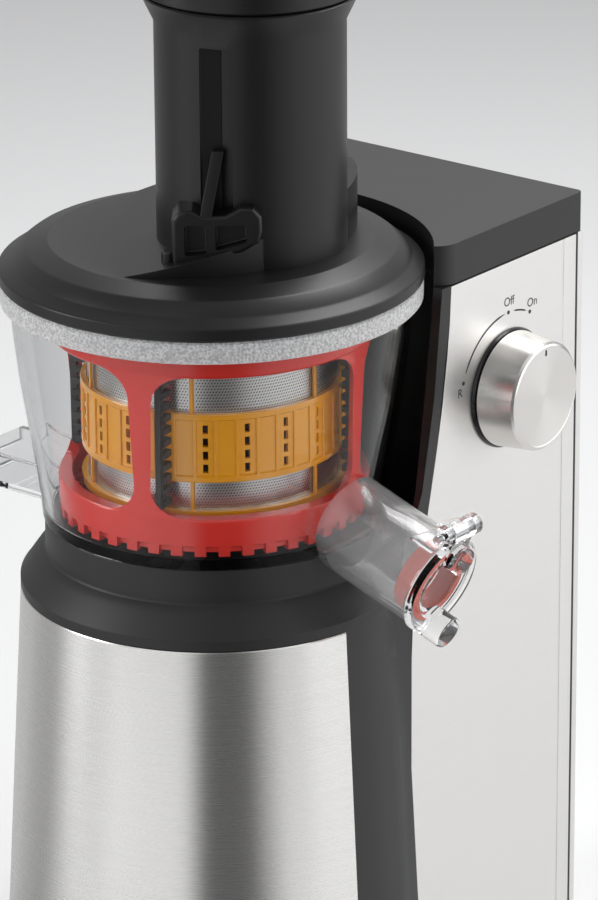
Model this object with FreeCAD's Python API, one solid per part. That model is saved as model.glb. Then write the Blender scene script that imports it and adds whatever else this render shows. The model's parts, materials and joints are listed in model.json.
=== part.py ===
"""Cold press juicer: drum base with drive, rear tower, clear juicing bowl, auger, strainer, wiper and feed lid.

Millimetres, +Z up.  The origin is on the table under the bowl axis.  The front faces -Y, the tower
stands at +Y, the knob and the juice spout are on the +X side and the pulp outlet is on the -X side.
"""
import FreeCAD, Part
import math
import os

from FreeCAD import Vector

os.makedirs("parts", exist_ok=True)

# Clearances and fits
gap = 0.3
run_fit = 0.06
seat_gap = 0.05

# Base and feet
foot_radius = 9.0
foot_height = 5.0
foot_inset = 14.0
foot_stud_radius = 4.0
vent_half_length = 30.0
vent_width = 3.0
vent_pitch = 8.0
vent_first_y = foot_radius + 4.0
base_plate_thickness = 4.0
housing_wall = 2.5
housing_bottom_z = foot_height
flange_z = 184.8
drum_top_radius = 69.8
drum_flare = 0.0571
cladding_thickness = 0.8
cladding_half_angle = 80.0
cladding_lower_edge = 16.0

# Tower
tower_half_width = 67.1
tower_rear_y = 131.0
tower_top_z = 295.0
recess_upper_radius = 78.0
panel_thickness = 1.0
rear_cover_thickness = 3.0
top_cover_height = 14.8
top_cover_wall = 2.5
top_cover_corner = 9.0

# Bowl seat on the drum
seat_flange_radius = 69.8
seat_band_height = 4.2
seat_collar_radius = 60.6
seat_collar_z = flange_z + 12.8
seat_deck_z = flange_z + 26.7
seat_hollow_z = flange_z + 9.7
seat_hollow_radius = 55.0

# Juicing bowl
bowl_floor_thickness = 2.5
bowl_bottom_radius = 61.3
bowl_top_radius = 71.0
bowl_wall = 2.6
bowl_flange_radius = 74.6
bowl_flange_z = seat_deck_z + 80.0
lid_seat_z = bowl_flange_z + 8.2

# Juice spout and its cap
spout_radius = 17.2
spout_bore = 14.4
spout_tilt = 19.0
spout_start_x = 57.4
spout_start_z = seat_deck_z + 9.8
spout_length = 44.0
cap_thickness = 3.0
cap_overlap = 1.2
cap_knuckle_radius = 4.0
cap_pin_radius = 1.5
plug_length = 8.0

# Pulp outlet
pulp_end_x = -107.0
pulp_inner_x = -21.0
pulp_front_y = -10.0
pulp_rear_y = 18.0
pulp_bottom_z = seat_deck_z - 11.5
pulp_wall = 2.2
duct_fit = 0.5
pulp_hole_x = -37.0
pulp_hole_depth = 12.0
pulp_hole_y = -6.0
pulp_hole_width = 14.0

# Drive gears, module and tooth counts
gear_module = 1.5
pinion_teeth = 11
wheel_teeth = 37
second_pinion_teeth = 14
second_wheel_teeth = 34
gear_backlash = 0.35
bowl_sun_teeth = 16
bowl_planet_teeth = 24
bowl_ring_teeth = 64

# Motor and shafts
motor_radius = 42.0
motor_wall = 2.0
motor_bottom_z = 24.0
motor_top_z = 100.0
rotor_radius = 24.0
motor_shaft_radius = 4.0
idler_shaft_radius = 4.0
output_shaft_radius = 9.0
output_hex_flats = 13.0
gearbox_bottom_z = 104.0
gearbox_top_z = 176.0
gearbox_wall = 3.0

# Control board in the tower
board_half_width = 34.0
board_height = 112.0
board_thickness = 1.6
board_low_z = 150.0
board_stand_off = 20.0
capacitor_radius = 9.0

# Strainer, wiper and auger
strainer_radius = 47.0
strainer_wall = 2.2
strainer_floor_z = seat_deck_z + 13.5
strainer_floor_thickness = 2.0
strainer_rim_height = 3.2
strainer_posts = 6
amber_slot_columns = 24
amber_slot_rows = 3
amber_slot_width = 1.6
amber_slot_height = 4.0
amber_slot_pitch = 7.0
strainer_top_z = strainer_floor_z + 66.0
amber_low_z = strainer_floor_z + 14.0
amber_high_z = amber_low_z + 25.0
mesh_thickness = 0.5
mesh_lap = 4.0
wiper_ring_inner = strainer_radius + 3.6
wiper_ring_radius = wiper_ring_inner + 4.9
wiper_ring_z = seat_deck_z + 6.7
wiper_ring_top_z = wiper_ring_z + 10.1
wiper_top_radius = strainer_radius + 10.6
wiper_top_low_z = wiper_ring_top_z + 52.5
wiper_top_z = wiper_top_low_z + 6.2
wiper_rib_width = 10.0
wiper_rib_azimuth = 13.0
wiper_rim_teeth = 42
auger_radius = 43.8
auger_floor_gap = 0.4
auger_core_bottom = 33.0
auger_core_top = 17.0
auger_pitch = 32.0
auger_blade = 5.0
auger_pin_radius = 7.0

# Lid, feed chute and pusher
lid_radius = 75.0
lid_rim_height = 4.6
lid_plateau_radius = 60.0
lid_plateau_z = lid_seat_z + 14.3
lid_wall = 2.6
lid_skirt_drop = 7.0
chute_x = 16.0
chute_y = 3.0
chute_radius = 33.3
chute_bore = 29.6
chute_top_z = lid_plateau_z + 91.0
hopper_radius = 38.0
hopper_height = 10.0
ramp_centre_x = -20.0
ramp_centre_y = 4.0
ramp_radius = 64.6
ramp_start_x = 6.0
ramp_start_y = -55.0
ramp_slope = 0.24
ramp_azimuth = 37.0
pusher_wall = 2.5
pusher_bottom_z = lid_plateau_z + 18.0
pusher_head_height = 9.0
pusher_grip_height = 22.0

# Knob and dial
knob_y = 85.2
knob_z = 247.4
knob_base_radius = 21.4
knob_face_radius = 19.8
knob_depth = 16.8
bezel_radius = 22.4
pointer_width = 1.0
pointer_low = 14.8
pointer_high = 17.2
pointer_depth = 0.4
bezel_thickness = 1.2
knob_shaft_radius = 3.0
dial_radius = 28.4
dial_mark_thickness = 0.15

NODES = {}


def node(name, shape):
    """Keep one named piece of the juicer."""
    NODES[name] = shape


def cyl(radius, z0, z1, x=0.0, y=0.0):
    """Upright cylinder between two heights."""
    return Part.makeCylinder(radius, z1 - z0, Vector(x, y, z0))


def ring(outer, inner, z0, z1, x=0.0, y=0.0):
    """Upright ring between two heights."""
    return cyl(outer, z0, z1, x, y).cut(cyl(inner, z0 - 1, z1 + 1, x, y))


def box(x0, x1, y0, y1, z0, z1):
    """Box between three pairs of planes."""
    return Part.makeBox(x1 - x0, y1 - y0, z1 - z0, Vector(x0, y0, z0))


def turned(points, x=0.0, y=0.0):
    """Solid of revolution about the upright axis at x, y from radius and height pairs."""
    corners = [Vector(x + r, y, z) for r, z in points]
    face = Part.Face(Part.makePolygon(corners + corners[:1]))
    return face.revolve(Vector(x, y, 0), Vector(0, 0, 1), 360)


def prism(points, z0, z1):
    """Upright prism on a closed outline of x and y pairs."""
    corners = [Vector(x, y, z0) for x, y in points]
    return Part.Face(Part.makePolygon(corners + corners[:1])).extrude(Vector(0, 0, z1 - z0))


def side_prism(points, x0, x1):
    """Prism along X on a closed outline of y and z pairs."""
    corners = [Vector(x0, y, z) for y, z in points]
    return Part.Face(Part.makePolygon(corners + corners[:1])).extrude(Vector(x1 - x0, 0, 0))


def rod(start, direction, radius, length):
    """Round rod from a point along a direction."""
    return Part.makeCylinder(radius, length, start, direction)


def polar(radius, azimuth, z=0.0):
    """Point at an azimuth, where 0 is the front (-Y) and 90 is the +X side."""
    angle = math.radians(azimuth)
    return Vector(radius * math.sin(angle), -radius * math.cos(angle), z)


def turned_copy(shape, azimuth, x=0.0, y=0.0):
    """Copy of a shape turned about the upright axis at x, y."""
    copy = shape.copy()
    copy.rotate(Vector(x, y, 0), Vector(0, 0, 1), azimuth)
    return copy


def joined(shapes):
    """One solid from touching or overlapping shapes."""
    first = shapes[0]
    return first.fuse(shapes[1:]).removeSplitter()


def drum_radius(z):
    """Radius of the steel drum at a height."""
    return drum_top_radius + drum_flare * (flange_z - z)


def involute_outline(teeth, addendum, dedendum, thinning):
    """Outline of a spur gear with involute flanks at 20 degrees."""
    pitch = gear_module * teeth / 2
    base = pitch * math.cos(math.radians(20))
    tip = pitch + addendum
    root = pitch - dedendum
    half = math.pi / (2 * teeth) - thinning / (2 * pitch)
    involute = lambda r: math.tan(math.acos(min(1, base / r))) - math.acos(min(1, base / r))
    flank = []
    low = max(root, base)
    for step in range(4):
        r = low + (tip - low) * step / 3
        flank.append((r, half + involute(pitch) - involute(r)))
    if root < base:
        flank.insert(0, (root, flank[0][1]))
    points = []
    for tooth in range(teeth):
        centre = 2 * math.pi * tooth / teeth
        for r, angle in flank:
            points.append((r, centre - angle))
        for r, angle in reversed(flank):
            points.append((r, centre + angle))
    return [(r * math.cos(a), r * math.sin(a)) for r, a in points]


def spur(teeth, z0, z1, x=0.0, y=0.0, phase=0.0, thinning=gear_backlash):
    """Spur gear solid with stub teeth."""
    outline = involute_outline(teeth, 0.8 * gear_module, 1.1 * gear_module, thinning)
    solid = prism(outline, z0, z1)
    solid.rotate(Vector(0, 0, 0), Vector(0, 0, 1), phase)
    solid.translate(Vector(x, y, 0))
    return solid


def screw(x, y, z, length, radius=1.6, head=3.2, head_height=2.0, up=True):
    """Pan head screw whose head sits at height z and whose shank goes up or down."""
    sign = 1 if up else -1
    shank = rod(Vector(x, y, z), Vector(0, 0, sign), radius, length)
    cap = rod(Vector(x, y, z - sign * head_height), Vector(0, 0, sign), head, head_height)
    slot = Part.makeBox(head * 1.4, 0.8, 0.8, Vector(x - head * 0.7, y - 0.4, z - head_height - 0.1))
    if not up:
        slot.translate(Vector(0, 0, 2 * head_height - 0.6))
    return cap.fuse(shank).cut(slot)


# Base plate, feet and their screws
plate_top_z = housing_bottom_z + base_plate_thickness
plate_radius = drum_radius(plate_top_z) - housing_wall - 0.9 - gap
plate_rear_y = tower_rear_y - rear_cover_thickness - gap
plate_half = tower_half_width - panel_thickness - housing_wall - gap
foot_places = [(0, 0), (-42, -42), (42, -42), (-plate_half + foot_inset, plate_rear_y - foot_inset),
               (plate_half - foot_inset, plate_rear_y - foot_inset)]
boss_places = [(-30, -60), (30, -60), (-54, 60), (54, 60)]
gearbox_posts = [(-41, -28), (41, -28), (-40, 52), (40, 52)]
post_radius = 5.0


def base_plate():
    plate = cyl(plate_radius, foot_height - 2, plate_top_z)
    plate = plate.fuse(box(-plate_half, plate_half, 0, plate_rear_y - housing_wall, foot_height - 2, plate_top_z))
    vents = []
    for row in range(3):
        for y in (vent_first_y + row * vent_pitch, -vent_first_y - row * vent_pitch - vent_width):
            vents.append(box(-vent_half_length, vent_half_length, y, y + vent_width, 0, plate_top_z + 1))
    for x, y in foot_places:
        plate = plate.cut(cyl(foot_stud_radius, 0, 20, x, y))
        plate = plate.cut(cyl(foot_radius + gap, 0, foot_height - 1, x, y))
    for x, y in boss_places:
        plate = plate.cut(cyl(1.9, 0, 20, x, y))
        plate = plate.cut(cyl(3.6, 0, foot_height, x, y))
    return plate.cut(vents[0].fuse(vents[1:])).removeSplitter()


def rubber_feet():
    feet = []
    for x, y in foot_places:
        pad = turned([(0, 0), (foot_radius - 1, 0), (foot_radius, 1), (foot_radius, foot_height - 1),
                      (0, foot_height - 1)], x, y)
        feet.append(pad.fuse(cyl(foot_stud_radius - seat_gap, foot_height - 1, plate_top_z + 1, x, y)))
    return Part.makeCompound(feet)


def base_screws():
    return Part.makeCompound([screw(x, y, foot_height, 12, head_height=1.8) for x, y in boss_places])


# Main housing: drum shell and tower shell in one moulding
panel_outline = [(51, 294.6), (49.9, 282), (42.6, 236), (36.8, 213), (28, 171), (28, 12),
                 (127, 12), (127, 294.6)]
frame_top_y = 45.5
frame_outline = [(13, flange_z), (24, 200), (34, 222), (41, 255), (frame_top_y, tower_top_z),
                 (tower_rear_y - rear_cover_thickness, tower_top_z),
                 (tower_rear_y - rear_cover_thickness, flange_z)]
cavity_rear_y = tower_rear_y - rear_cover_thickness


def drum_solid(inset, z0, z1):
    """Cone of the drum, set in from its outer face."""
    return turned([(0, z0), (drum_radius(z0) - inset, z0), (drum_radius(z1) - inset, z1), (0, z1)])


def main_housing():
    low = housing_bottom_z
    skin = cladding_thickness + seat_gap
    drum = drum_solid(skin, low, flange_z)
    lower_tower = box(-tower_half_width, tower_half_width, 0, cavity_rear_y, low, flange_z)
    frame = side_prism(frame_outline, -tower_half_width, tower_half_width)
    recess_low = seat_flange_radius + gap
    recess = turned([(0, flange_z), (recess_low, flange_z), (recess_low, flange_z + seat_band_height + 1),
                     (recess_upper_radius, tower_top_z), (recess_upper_radius, tower_top_z + 1),
                     (0, tower_top_z + 1)])
    body = drum.fuse([lower_tower, frame.cut(recess)])
    drum_inside = drum_solid(skin + housing_wall, low - 1, flange_z + 1)
    inner_half = tower_half_width - panel_thickness - housing_wall
    tower_inside = box(-inner_half, inner_half, 0, cavity_rear_y + 1, low - 1, flange_z - housing_wall)
    upper_inside = box(-inner_half, inner_half, frame_top_y + housing_wall + 4, cavity_rear_y + 1, low,
                       tower_top_z + 1)
    upper_inside = upper_inside.cut(cyl(recess_upper_radius + housing_wall, low - 1, tower_top_z + 2))
    body = body.cut(drum_inside.fuse([tower_inside, upper_inside]))
    for sign in (-1, 1):
        outer = tower_half_width + 20
        inner = tower_half_width - panel_thickness - seat_gap
        body = body.cut(side_prism(panel_outline, min(sign * inner, sign * outer), max(sign * inner, sign * outer)))
    hole = rod(Vector(tower_half_width - 10, knob_y, knob_z), Vector(1, 0, 0), 5.0, 20)
    body = body.cut(hole)
    bosses = []
    for x, y in boss_places:
        bosses.append(ring(4.5, 1.6 + run_fit, plate_top_z, plate_top_z + 14, x, y))
        side = 1 if x > 0 else -1
        reach = inner_half + 1 if y > 0 else 0
        if reach:
            bosses.append(box(min(side * 57, side * reach), max(side * 57, side * reach), y - 1.5, y + 1.5,
                              plate_top_z, plate_top_z + 14))
        else:
            rib = box(x - 1.5, x + 1.5, -drum_radius(low), y - 3, plate_top_z, plate_top_z + 14)
            bosses.append(rib.common(drum_solid(skin + 1, low, flange_z)))
    return body.fuse(bosses).removeSplitter()


def drum_cladding():
    outer = drum_solid(0, cladding_lower_edge, flange_z - gap)
    inner = drum_solid(cladding_thickness, cladding_lower_edge - 1, flange_z + 1)
    sheet = outer.cut(inner)
    reach = 200
    edge = polar(reach, cladding_half_angle)
    wedge = prism([(0, 0), (edge.x, edge.y), (reach, reach), (-reach, reach), (-edge.x, edge.y)], 0, 300)
    return sheet.cut(wedge)


def side_panel(sign):
    inner = sign * (tower_half_width - panel_thickness)
    outer = sign * tower_half_width
    inset = [(y + (seat_gap if y < 60 else -seat_gap), z + (seat_gap if z < 20 else -seat_gap * (z > 290)))
             for y, z in panel_outline]
    sheet = side_prism(inset, min(inner, outer), max(inner, outer))
    if sign > 0:
        sheet = sheet.cut(rod(Vector(inner - 1, knob_y, knob_z), Vector(1, 0, 0), 5.0, 4))
    return sheet


gland_x = -40.0
gland_z = 32.0


def rear_cover():
    front = cavity_rear_y + seat_gap
    cover = box(-tower_half_width, tower_half_width, front, tower_rear_y, plate_top_z, tower_top_z)
    slots = [box(-36, 36, front - 1, tower_rear_y + 1, z, z + 3) for z in range(70, 131, 8)]
    cover = cover.cut(slots[0].fuse(slots[1:]))
    cover = cover.cut(rod(Vector(gland_x, front - 5, gland_z), Vector(0, 1, 0), 7.0, 20))
    for x, z in rear_screw_places:
        cover = cover.cut(rod(Vector(x, front - 5, z), Vector(0, 1, 0), 1.8, 20))
        cover = cover.cut(rod(Vector(x, tower_rear_y - 1.2, z), Vector(0, 1, 0), 3.4, 5))
    return cover


rear_screw_places = [(-50, 20), (50, 20), (-50, 280), (50, 280)]


def rear_cover_lugs():
    """Screw lugs of the housing behind the rear cover."""
    lugs = []
    inner_half = tower_half_width - panel_thickness - housing_wall
    for x, z in rear_screw_places:
        side = 1 if x > 0 else -1
        lug = box(min(side * 44, side * (inner_half + 0.5)), max(side * 44, side * (inner_half + 0.5)),
                  cavity_rear_y - 14, cavity_rear_y, z - 5, z + 5)
        lugs.append(lug.cut(rod(Vector(x, cavity_rear_y - 20, z), Vector(0, 1, 0), 1.5 + run_fit, 40)))
    return lugs


def rear_cover_screws():
    screws = []
    for x, z in rear_screw_places:
        head_y = tower_rear_y - 1.2
        head = rod(Vector(x, head_y, z), Vector(0, 1, 0), 3.1, 1.1)
        shank = rod(Vector(x, head_y, z), Vector(0, -1, 0), 1.5, 12)
        screws.append(head.fuse(shank).cut(box(x - 2.2, x + 2.2, head_y + 0.6, head_y + 2, z - 0.4, z + 0.4)))
    return Part.makeCompound(screws)


def cord_gland():
    """Rubber bush where the mains lead would pass the rear cover."""
    collar = rod(Vector(gland_x, tower_rear_y, gland_z), Vector(0, 1, 0), 9.0, 3.0)
    sleeve = rod(Vector(gland_x, cavity_rear_y - 3, gland_z), Vector(0, 1, 0), 7.0 - seat_gap, 12.0)
    nose = Part.makeCone(6.0, 4.6, 12.0, Vector(gland_x, tower_rear_y + 3, gland_z), Vector(0, 1, 0))
    bore = rod(Vector(gland_x, cavity_rear_y - 5, gland_z), Vector(0, 1, 0), 3.4, 40)
    return joined([collar, sleeve, nose]).cut(bore)


def tower_cover():
    z0 = tower_top_z + gap
    z1 = z0 + top_cover_height
    outline = box(-tower_half_width, tower_half_width, 40, tower_rear_y, z0, z1)
    corners = [e for e in outline.Edges if abs(e.Length - top_cover_height) < 0.01 and e.CenterOfMass.y > 60]
    outline = outline.makeFillet(top_cover_corner, corners)
    shell = outline.cut(cyl(recess_upper_radius, z0 - 1, z1 + 1))
    inner_half = tower_half_width - top_cover_wall
    inside = box(-inner_half + 8, inner_half - 8, recess_upper_radius + top_cover_wall + 1,
                 tower_rear_y - top_cover_wall - 3, z0 - 1, z1 - top_cover_wall)
    return shell.cut(inside).removeSplitter()


# Bowl seat on top of the drum
seat_bore_radius = output_shaft_radius + 5.0
seat_notch_z = pulp_bottom_z - duct_fit


def bowl_seat():
    """Flange and sloped shoulder of the seat, closed under the notch of the pulp duct."""
    return turned([(seat_bore_radius, seat_hollow_z), (seat_hollow_radius, seat_hollow_z),
                   (seat_hollow_radius + 6, flange_z), (seat_flange_radius, flange_z),
                   (seat_flange_radius, flange_z + seat_band_height),
                   (seat_collar_radius + 3.5, seat_collar_z - 1.5), (seat_collar_radius, seat_collar_z + 1.0),
                   (seat_collar_radius, seat_notch_z), (seat_bore_radius, seat_notch_z)])


def seat_neck():
    """Neck on the shoulder that the bowl stands on, open to the left for the pulp duct."""
    neck = ring(seat_collar_radius, seat_bore_radius, seat_notch_z, seat_deck_z)
    return neck.cut(box(pulp_end_x, pulp_inner_x + duct_fit, pulp_front_y - duct_fit, pulp_rear_y + duct_fit,
                        seat_notch_z - 1, seat_deck_z + 1))


# Gearbox, motor and shafts
drive_centre = gear_module * (pinion_teeth + wheel_teeth) / 2
stage_one_z = 112.0
stage_two_z = 138.0
gear_face = 12.0


def gearbox_outline(inset, z0, z1):
    """Rounded box round both gear axes."""
    front = cyl(gear_module * second_wheel_teeth / 2 + 8 - inset, z0, z1)
    rear = cyl(gear_module * wheel_teeth / 2 + 8 - inset, z0, z1, 0, drive_centre)
    half = gear_module * second_wheel_teeth / 2 + 8 - inset
    return joined([front, rear, box(-half, half, 0, drive_centre, z0, z1)])


def gearbox_case():
    floor_top = gearbox_bottom_z + gearbox_wall
    case = gearbox_outline(0, gearbox_bottom_z, stage_two_z + gear_face + 6)
    case = case.cut(gearbox_outline(gearbox_wall, floor_top, stage_two_z + gear_face + 7))
    feet = []
    for x, y in gearbox_posts:
        tab = cyl(post_radius + 2, gearbox_bottom_z, gearbox_bottom_z + 5, x, y)
        tab = tab.fuse(box(min(x, 0), max(x, 0), y - 4, y + 4, gearbox_bottom_z, gearbox_bottom_z + 5))
        feet.append(tab)
    case = case.fuse(feet)
    case = case.cut(gearbox_outline(gearbox_wall, floor_top, stage_two_z + gear_face + 7))
    case = case.cut(cyl(motor_shaft_radius + 4, gearbox_bottom_z - 1, floor_top + 1))
    boss = cyl(idler_shaft_radius + 4, gearbox_bottom_z, floor_top + 2, 0, drive_centre)
    case = case.fuse(boss).cut(cyl(idler_shaft_radius + run_fit, gearbox_bottom_z + 1, 200, 0, drive_centre))
    for x, y in gearbox_posts:
        case = case.cut(cyl(2.2, 90, 130, x, y))
    return case.removeSplitter()


def gearbox_lid():
    z0 = stage_two_z + gear_face + 6 + seat_gap
    lid = gearbox_outline(0, z0, z0 + gearbox_wall)
    tower = cyl(output_shaft_radius + 9, z0, gearbox_top_z)
    lid = lid.fuse(tower)
    lid = lid.fuse(cyl(idler_shaft_radius + 4, z0, z0 + 8, 0, drive_centre))
    lid = lid.cut(cyl(output_shaft_radius + 6, z0 + 2.0, gearbox_top_z + 1))
    lid = lid.cut(cyl(output_shaft_radius + 2, z0 - 1, gearbox_top_z))
    lid = lid.cut(cyl(idler_shaft_radius + run_fit, z0 - 1, z0 + 6, 0, drive_centre))
    return lid.removeSplitter()


def gearbox_posts_node():
    """Steel posts that carry the gearbox and motor on the base plate."""
    posts = []
    for x, y in gearbox_posts:
        posts.append(cyl(post_radius, plate_top_z, gearbox_bottom_z, x, y))
        posts[-1] = posts[-1].fuse(cyl(2.0, gearbox_bottom_z, gearbox_bottom_z + 9, x, y))
        posts[-1] = posts[-1].fuse(cyl(4.0, gearbox_bottom_z + 5 + seat_gap, gearbox_bottom_z + 9, x, y))
    return Part.makeCompound(posts)


def motor_can():
    can = ring(motor_radius, motor_radius - motor_wall, motor_bottom_z, motor_top_z)
    can = can.fuse(ring(motor_radius, 11.0 + run_fit, motor_top_z, motor_top_z + 4))
    flange = ring(motor_radius, motor_radius - 8, motor_bottom_z - 3, motor_bottom_z)
    legs = []
    for azimuth in (45, 135, 225, 315):
        place = polar(motor_radius - 4.5, azimuth)
        legs.append(cyl(3.0, plate_top_z, motor_bottom_z, place.x, place.y))
    vents = []
    for azimuth in range(0, 360, 45):
        slot = box(-4, 4, -motor_radius - 2, -motor_radius + 6, motor_bottom_z + 8, motor_bottom_z + 22)
        vents.append(turned_copy(slot, azimuth + 22.5))
    return can.fuse([flange] + legs).cut(vents[0].fuse(vents[1:])).removeSplitter()


def stator_core():
    core = ring(motor_radius - motor_wall - seat_gap, rotor_radius + 0.8, motor_bottom_z + 24, motor_top_z - 12)
    for azimuth in range(0, 360, 60):
        slot = box(-3.5, 3.5, -motor_radius + 8, -rotor_radius - 3, 0, 200)
        core = core.cut(turned_copy(slot, azimuth))
    return core


def stator_coils():
    coils = []
    for azimuth in range(0, 360, 60):
        coil = box(-3.1, 3.1, -motor_radius + 8.4, -rotor_radius - 3.4, motor_bottom_z + 19, motor_top_z - 7)
        coils.append(turned_copy(coil, azimuth))
    return Part.makeCompound(coils)


def rotor_core():
    core = ring(rotor_radius, motor_shaft_radius, motor_bottom_z + 22, motor_top_z - 10)
    for azimuth in range(0, 360, 30):
        slot = box(-1.2, 1.2, -rotor_radius - 1, -rotor_radius + 6, 0, 200)
        core = core.cut(turned_copy(slot, azimuth))
    return core


def motor_shaft():
    return cyl(motor_shaft_radius, motor_bottom_z + 0.5, stage_one_z + gear_face + 1)


def motor_pinion():
    gear = spur(pinion_teeth, stage_one_z, stage_one_z + gear_face, phase=90.0)
    return gear.cut(cyl(motor_shaft_radius, stage_one_z - 1, stage_one_z + gear_face + 1))


def cooling_fan():
    z0 = motor_bottom_z + 7
    fan = ring(9, motor_shaft_radius, z0, z0 + 10)
    blades = []
    for azimuth in range(0, 360, 40):
        blade = box(-0.8, 0.8, -30, -8, z0, z0 + 10)
        blade.rotate(Vector(0, 0, z0 + 5), Vector(0, 1, 0), 25)
        blades.append(turned_copy(blade, azimuth))
    return joined([fan] + blades).cut(cyl(motor_shaft_radius, z0 - 5, z0 + 15))


def motor_bearings():
    """Upper and lower motor bearings, held in the can and the lower bridge."""
    upper = ring(11.0, motor_shaft_radius + run_fit, motor_top_z - 3, motor_top_z + 4)
    lower = ring(8.0, motor_shaft_radius + run_fit, motor_bottom_z, motor_bottom_z + 5)
    return Part.makeCompound([upper, lower])


def motor_bridge():
    """Lower bearing bridge across the motor can."""
    z0 = motor_bottom_z
    hub = ring(12.0, 8.0, z0, z0 + 5)
    reach = motor_radius - motor_wall - seat_gap
    bars = []
    for azimuth in (0, 90, 180, 270):
        bars.append(turned_copy(box(-5, 5, -reach + 1, -9, z0, z0 + 3), azimuth))
    rim = ring(reach, reach - 4, z0, z0 + 3)
    return joined([hub, rim] + bars).cut(cyl(8.0, z0 - 1, z0 + 9))


def idler_shaft():
    return cyl(idler_shaft_radius, gearbox_bottom_z + 1.2, stage_two_z + gear_face + 11, 0, drive_centre)


def mesh_phase(driver_teeth, driven_teeth, driver_phase):
    """Phase of a driven gear above its driver on the +Y side, with a gap facing the driver's tooth."""
    to_driven = 90.0
    driver_offset = (to_driven - driver_phase) * driver_teeth / 360.0
    return to_driven + 180.0 + (driver_offset + 0.5) * 360.0 / driven_teeth


def idler_gear():
    """Compound gear: a large wheel from the motor and a small pinion to the output."""
    y = drive_centre
    wheel_phase = mesh_phase(pinion_teeth, wheel_teeth, 90.0)
    wheel = spur(wheel_teeth, stage_one_z, stage_one_z + gear_face - 1, 0, y, wheel_phase)
    spacer = cyl(9.0, stage_one_z + 1, stage_two_z + 1, 0, y)
    small = spur(second_pinion_teeth, stage_two_z, stage_two_z + gear_face, 0, y, 90.0)
    return joined([wheel, spacer, small]).cut(cyl(idler_shaft_radius, 0, 300, 0, y))


def output_gear():
    phase = mesh_phase(second_pinion_teeth, second_wheel_teeth, -90.0)
    gear = spur(second_wheel_teeth, stage_two_z + 0.5, stage_two_z + gear_face - 0.5, 0, 0, phase - 180.0)
    return gear.cut(cyl(output_shaft_radius, 0, 300))


shaft_top_z = seat_deck_z + 26.5


def output_shaft():
    flats = output_hex_flats / 2
    corner = flats / math.cos(math.radians(30))
    hexagon = [(corner * math.cos(math.radians(60 * i)), corner * math.sin(math.radians(60 * i))) for i in range(6)]
    return cyl(output_shaft_radius, stage_two_z - 3, seat_deck_z - 2).fuse(
        prism(hexagon, seat_deck_z - 3, shaft_top_z)).removeSplitter()


def output_bearings():
    z0 = stage_two_z + gear_face + 8 + seat_gap
    low = ring(output_shaft_radius + 6, output_shaft_radius + run_fit, z0 + gap, z0 + 7)
    high = ring(output_shaft_radius + 6, output_shaft_radius + run_fit, gearbox_top_z - 8, gearbox_top_z - 1)
    return Part.makeCompound([low, high])


def output_seal():
    """Rubber lip ring round the output shaft in the bowl seat."""
    outer = output_shaft_radius + 5 - seat_gap
    return turned([(output_shaft_radius + run_fit, seat_hollow_z), (outer, seat_hollow_z),
                   (outer, seat_deck_z - 6), (output_shaft_radius + run_fit, seat_deck_z - 9)])


def control_board():
    """Power board upright in the tower with its capacitor, choke and relay."""
    y = cavity_rear_y - board_stand_off
    forward = Vector(0, -1, 0)
    board = box(-board_half_width, board_half_width, y, y + board_thickness, board_low_z, board_low_z + board_height)
    capacitor = rod(Vector(-16, y, board_low_z + 40), forward, capacitor_radius, 16)
    relay = box(4, 24, y - 14, y, board_low_z + 26, board_low_z + 46)
    choke_centre = Vector(12, y, board_low_z + 76)
    choke = rod(choke_centre, forward, capacitor_radius, 9).cut(rod(choke_centre - forward, forward, 4, 12))
    return joined([board, capacitor, relay, choke])


def board_standoffs():
    y = cavity_rear_y - board_stand_off + board_thickness
    pins = []
    for x in (4 - board_half_width, board_half_width - 4):
        for z in (board_low_z + 5, board_low_z + board_height - 5):
            pins.append(rod(Vector(x, y, z), Vector(0, 1, 0), 3, cavity_rear_y - y))
    return Part.makeCompound(pins)


# Knob, dial and switch
def knob_parts():
    plane = tower_half_width
    along = Vector(1, 0, 0)
    centre = Vector(plane, knob_y, knob_z)
    bezel = rod(centre, along, bezel_radius, bezel_thickness)
    bezel = bezel.cut(rod(Vector(plane - 1, knob_y, knob_z), along, knob_shaft_radius + 2, 5))
    node("knob_bezel", bezel)
    base_x = plane + bezel_thickness + gap
    length = plane + knob_depth - base_x
    knob = Part.makeCone(knob_base_radius, knob_face_radius, length, Vector(base_x, knob_y, knob_z), along)
    face_edge = [e for e in knob.Edges if e.BoundBox.XMin > plane + knob_depth - 0.01]
    knob = knob.makeFillet(0.8, face_edge)
    knob = knob.cut(rod(Vector(base_x - 1, knob_y, knob_z), along, knob_base_radius - 3, 6))
    knob = knob.cut(rod(Vector(base_x - 1, knob_y, knob_z), along, knob_shaft_radius, 11))
    pointer = box(plane + knob_depth - pointer_depth, plane + knob_depth + 0.05, knob_y - pointer_width / 2,
                  knob_y + pointer_width / 2, knob_z + pointer_low, knob_z + pointer_high)
    node("control_knob", knob.cut(pointer))
    node("knob_pointer", pointer)
    shaft = rod(Vector(plane - 22, knob_y, knob_z), along, knob_shaft_radius, base_x + 9.5 - plane + 22)
    node("switch_shaft", shaft)
    inner = tower_half_width - panel_thickness - housing_wall
    body = box(inner - 22, inner - 3, knob_y - 13, knob_y + 13, knob_z - 13, knob_z + 13)
    neck = rod(Vector(inner - 3, knob_y, knob_z), along, 4.9, 3 + housing_wall)
    body = body.fuse(neck).cut(rod(Vector(inner - 40, knob_y, knob_z), along, knob_shaft_radius + run_fit, 60))
    node("rotary_switch", body)


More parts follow.
